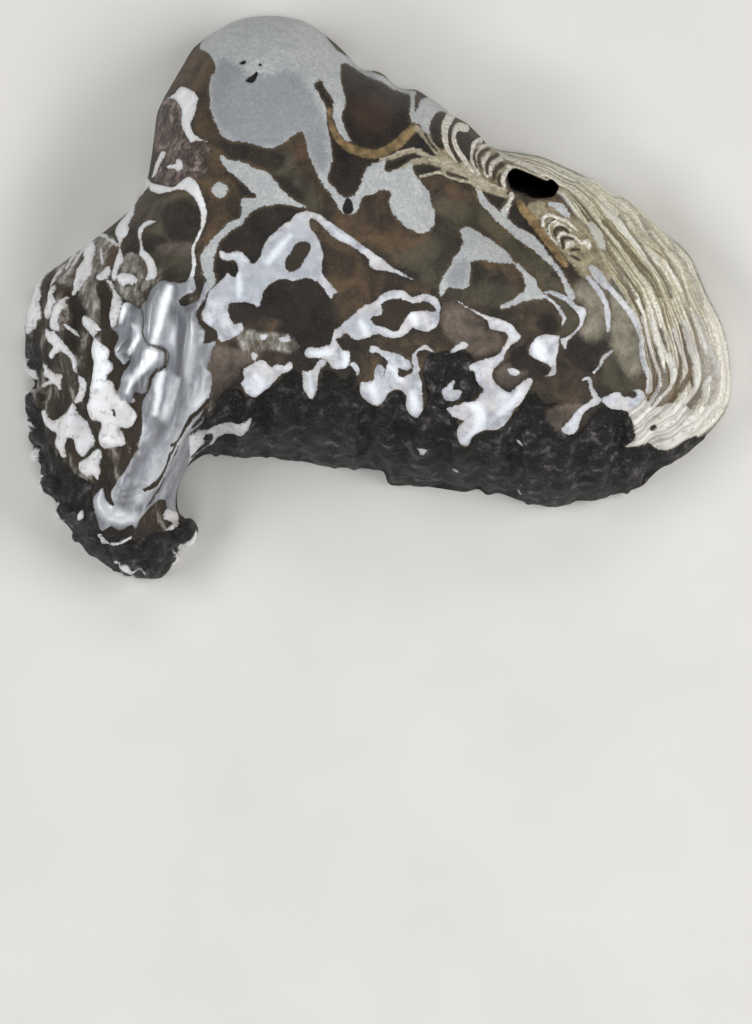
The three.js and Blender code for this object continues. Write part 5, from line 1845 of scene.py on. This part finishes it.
def outside_material():
    """The outer side's layers from the ground up, then its dustiness, gloss and fine relief."""
    t = WornOutside("worn_outside")
    pale_mask = t.mask("pale", 0.4, 1.3)
    white_mask = t.mask("white", 0.4, 0.8)
    nacre_mask = t.mask("nacre", 0.5, 0.6)
    island_mask = t.mask("island", 0.7)
    shine = t.times(t.most(white_mask, nacre_mask), t.less(1.0, island_mask))
    crust_mask = t.times(t.mask("crust", 1.2, 1.6), t.less(1.0, t.most(shine, t.mauve)))

    colour = t.mix(t.growth, ground_colour(t), growth_colour(t))
    colour = t.stain(colour, t.mask("tan", 2.0), 1.0, t.noise(2.0, 5.0),
                     (0.36, (106, 96, 76)), (0.62, (164, 154, 128)))
    colour = t.stain(colour, t.mask("ochre", 1.3), 1.0, t.noise(2.0, 5.0),
                     (0.38, (98, 83, 58)), (0.6, (146, 124, 88)))
    colour = t.stain(colour, t.mask("sweep", 1.0, 0.8), 1.0, t.noise(1.5, 5.0),
                     (0.36, (130, 122, 102)), (0.62, (172, 164, 143)))
    pale_rim = t.less(t.mask("pale", 1.0, 1.3, 2.4), pale_mask)
    colour = t.mix(t.times(pale_rim, 0.25), colour, (104, 88, 64))
    colour = t.mix(pale_mask, colour, pale_colour(t))
    colour = t.stain(colour, t.mask("shore", 0.7, 0.6), 1.0, t.mottle,
                     (0.38, (142, 134, 114)), (0.6, (190, 184, 166)))
    colour = t.stain(colour, t.mask("cream", 0.4, 0.6), 1.0, t.mottle,
                     (0.38, (172, 166, 153)), (0.6, (226, 223, 213)))
    colour = t.mix(t.mask("gap", 0.9, 0.7), colour, (66, 56, 46))
    colour = t.mix(white_mask, colour, white_colour(t))
    colour = t.mix(nacre_mask, colour, silver_colour(t))
    colour = t.mix(island_mask, colour, t.mix(0.4, t.dark, (70, 60, 48)))
    colour = t.mix(crust_mask, colour, crust_colour(t))
    colour = t.mix(t.mask("flaw", 0.5, 0.5), colour, (30, 28, 28))
    dust = t.range(t.mottle, 0.38, 0.62, 0.8, 1.16, kind="LINEAR")
    dust = t.blend(t.most(shine, t.times(pale_mask, 0.6)), dust, 1.0)
    t.join(t.scale(colour, dust), t.shader.inputs["Base Color"])

    roughness = t.blend(shine, t.range(t.grain, 0.3, 0.7, 0.4, 0.6), t.range(t.tint, 0.3, 0.7, 0.34, 0.46))
    t.join(t.blend(pale_mask, roughness, 0.55), t.shader.inputs["Roughness"])
    t.join(t.times(nacre_mask, 0.2), t.shader.inputs["Metallic"])
    t.shader.inputs["Specular IOR Level"].default_value = 0.26

    layers = t.plus(t.times(shine, 0.55), t.times(pale_mask, 0.3))
    lines = t.times(t.times(t.lines, t.growth), 1.4)
    grains = t.times(t.grain, t.blend(shine, 0.9, 0.05))
    crumbs = t.times(t.times(t.noise(0.8, 5.0, 0.66), crust_mask), 2.2)
    t.bump(t.plus(t.plus(layers, lines), t.plus(grains, crumbs)), 0.2)
    return t.material


def hollow_material():
    """The hollow side: pale nacre, a dull band outside the pallial line, a dark border and scars."""
    t = Tree("nacre_inside")
    wobble = t.times(t.less(t.noise(6.0, 4.0), 0.5), 5.0)
    inward = t.plus(t.field("inward"), wobble)
    silver = t.ramp(t.noise(14.0, 4.0), (0.3, (178, 180, 192)), (0.45, (214, 206, 212)),
                    (0.58, (222, 222, 218)), (0.7, (184, 200, 204)))
    stain = t.ramp(t.noise(5.0, 5.0, 0.65), (0.35, (120, 104, 80)), (0.65, (168, 156, 132)))
    colour = t.mix(t.times(t.range(t.noise(9.0, 5.0, 0.6), 0.56, 0.7), 0.5), silver, stain)
    dull = t.ramp(t.noise(3.0, 5.0), (0.35, (130, 126, 122)), (0.65, (174, 172, 168)))
    colour = t.mix(t.range(inward, PALLIAL_INWARD + 0.4, PALLIAL_INWARD - 0.4), colour, dull)
    line = t.math("ABSOLUTE", t.less(inward, PALLIAL_INWARD))
    colour = t.mix(t.range(line, 0.7, 0.1, 0.0, 0.5), colour, (140, 134, 130))
    border = t.range(inward, 5.6, 3.6)
    colour = t.mix(border, colour, t.ramp(t.noise(1.6, 5.0), (0.35, (44, 38, 34)), (0.65, (84, 72, 58))))
    scar = t.plus(t.field("scar"), t.times(wobble, 0.15))
    colour = t.mix(t.range(scar, -0.2, 0.5, 0.0, 0.6), colour, (168, 160, 156))
    t.join(colour, t.shader.inputs["Base Color"])
    dullness = t.range(inward, PALLIAL_INWARD + 1, PALLIAL_INWARD - 1, 0.22, 0.42)
    t.join(t.blend(border, dullness, 0.6), t.shader.inputs["Roughness"])
    rings = t.noise(2.2, 4.0, 0.6, stretch=(0.4, 1.0, 1.0))
    t.bump(rings, 0.12)
    return t.material


def edge_material():
    """The rim that the valve lies on, and the wall of the hole: layers of old shell, stained dark."""
    t = Tree("worn_and_lit_edge")
    layers = t.noise(0.9, 4.0, 0.6, stretch=(0.2, 0.2, 2.0))
    colour = t.ramp(layers, (0.35, (34, 30, 28)), (0.5, (66, 56, 46)), (0.68, (116, 102, 82)))
    t.join(colour, t.shader.inputs["Base Color"])
    t.shader.inputs["Roughness"].default_value = 0.6
    t.bump(layers, 0.2)
    return t.material


def make_floor(low_z):
    """A wide pale sheet of paper at the height the valve lies on."""
    mesh = bpy.data.meshes.new("floor")
    corners = [(x * FLOOR_HALF, y * FLOOR_HALF, low_z) for x, y in ((-1, -1), (1, -1), (1, 1), (-1, 1))]
    mesh.from_pydata(corners, [], [(0, 1, 2, 3)])
    floor = bpy.data.objects.new("floor", mesh)
    bpy.context.collection.objects.link(floor)
    t = Tree("pale_floor")
    paper = t.ramp(t.noise(40.0, 3.0), (0.3, (206, 205, 202)), (0.7, (212, 211, 208)))
    t.join(paper, t.shader.inputs["Base Color"])
    t.shader.inputs["Roughness"].default_value = 0.9
    mesh.materials.append(t.material)


def add_light(name, place, size, power, colour):
    """A soft rectangular lamp that faces the valve."""
    lamp = bpy.data.lights.new(name, "AREA")
    lamp.shape = "RECTANGLE"
    lamp.size, lamp.size_y = size
    lamp.energy = power
    lamp.color = colour
    thing = bpy.data.objects.new(name, lamp)
    thing.location = place
    thing.rotation_euler = (-Vector(place)).to_track_quat("-Z", "Y").to_euler()
    bpy.context.collection.objects.link(thing)


def light_scene():
    """Four soft strips around the valve and a faint even sky."""
    scene = bpy.context.scene
    scene.view_settings.view_transform = "Standard"
    world = bpy.data.worlds.new("studio")
    scene.world = world
    world.use_nodes = True
    background = world.node_tree.nodes["Background"]
    background.inputs["Color"].default_value = SKY_COLOUR
    background.inputs["Strength"].default_value = SKY_STRENGTH
    for lamp in LAMPS:
        add_light(*lamp)


def place_camera():
    """A long lens that looks straight down, as the photograph's does."""
    camera = bpy.data.cameras.new("camera")
    camera.lens = LENS
    camera.sensor_width = SENSOR
    thing = bpy.data.objects.new("camera", camera)
    thing.location = (CAMERA_X * MM, CAMERA_Y * MM, CAMERA_HEIGHT * MM)
    bpy.context.collection.objects.link(thing)
    bpy.context.scene.camera = thing


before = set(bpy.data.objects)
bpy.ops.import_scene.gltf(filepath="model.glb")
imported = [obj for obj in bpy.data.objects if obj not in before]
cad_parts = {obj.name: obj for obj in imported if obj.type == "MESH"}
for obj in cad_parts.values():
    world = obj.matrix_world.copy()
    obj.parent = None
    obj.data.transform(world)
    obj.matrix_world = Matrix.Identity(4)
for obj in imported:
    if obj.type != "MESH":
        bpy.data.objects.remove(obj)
cad_low, cad_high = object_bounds()
mesh = make_valve(np.array(cad_low) / MM, np.array(cad_high) / MM)
valve = bpy.data.objects.new("left_valve_worn", mesh)
bpy.context.collection.objects.link(valve)
for material in (outside_material(), hollow_material(), edge_material()):
    valve.data.materials.append(material)
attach(valve, "root")
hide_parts("left_valve")
make_floor(cad_low.z)
light_scene()
place_camera()
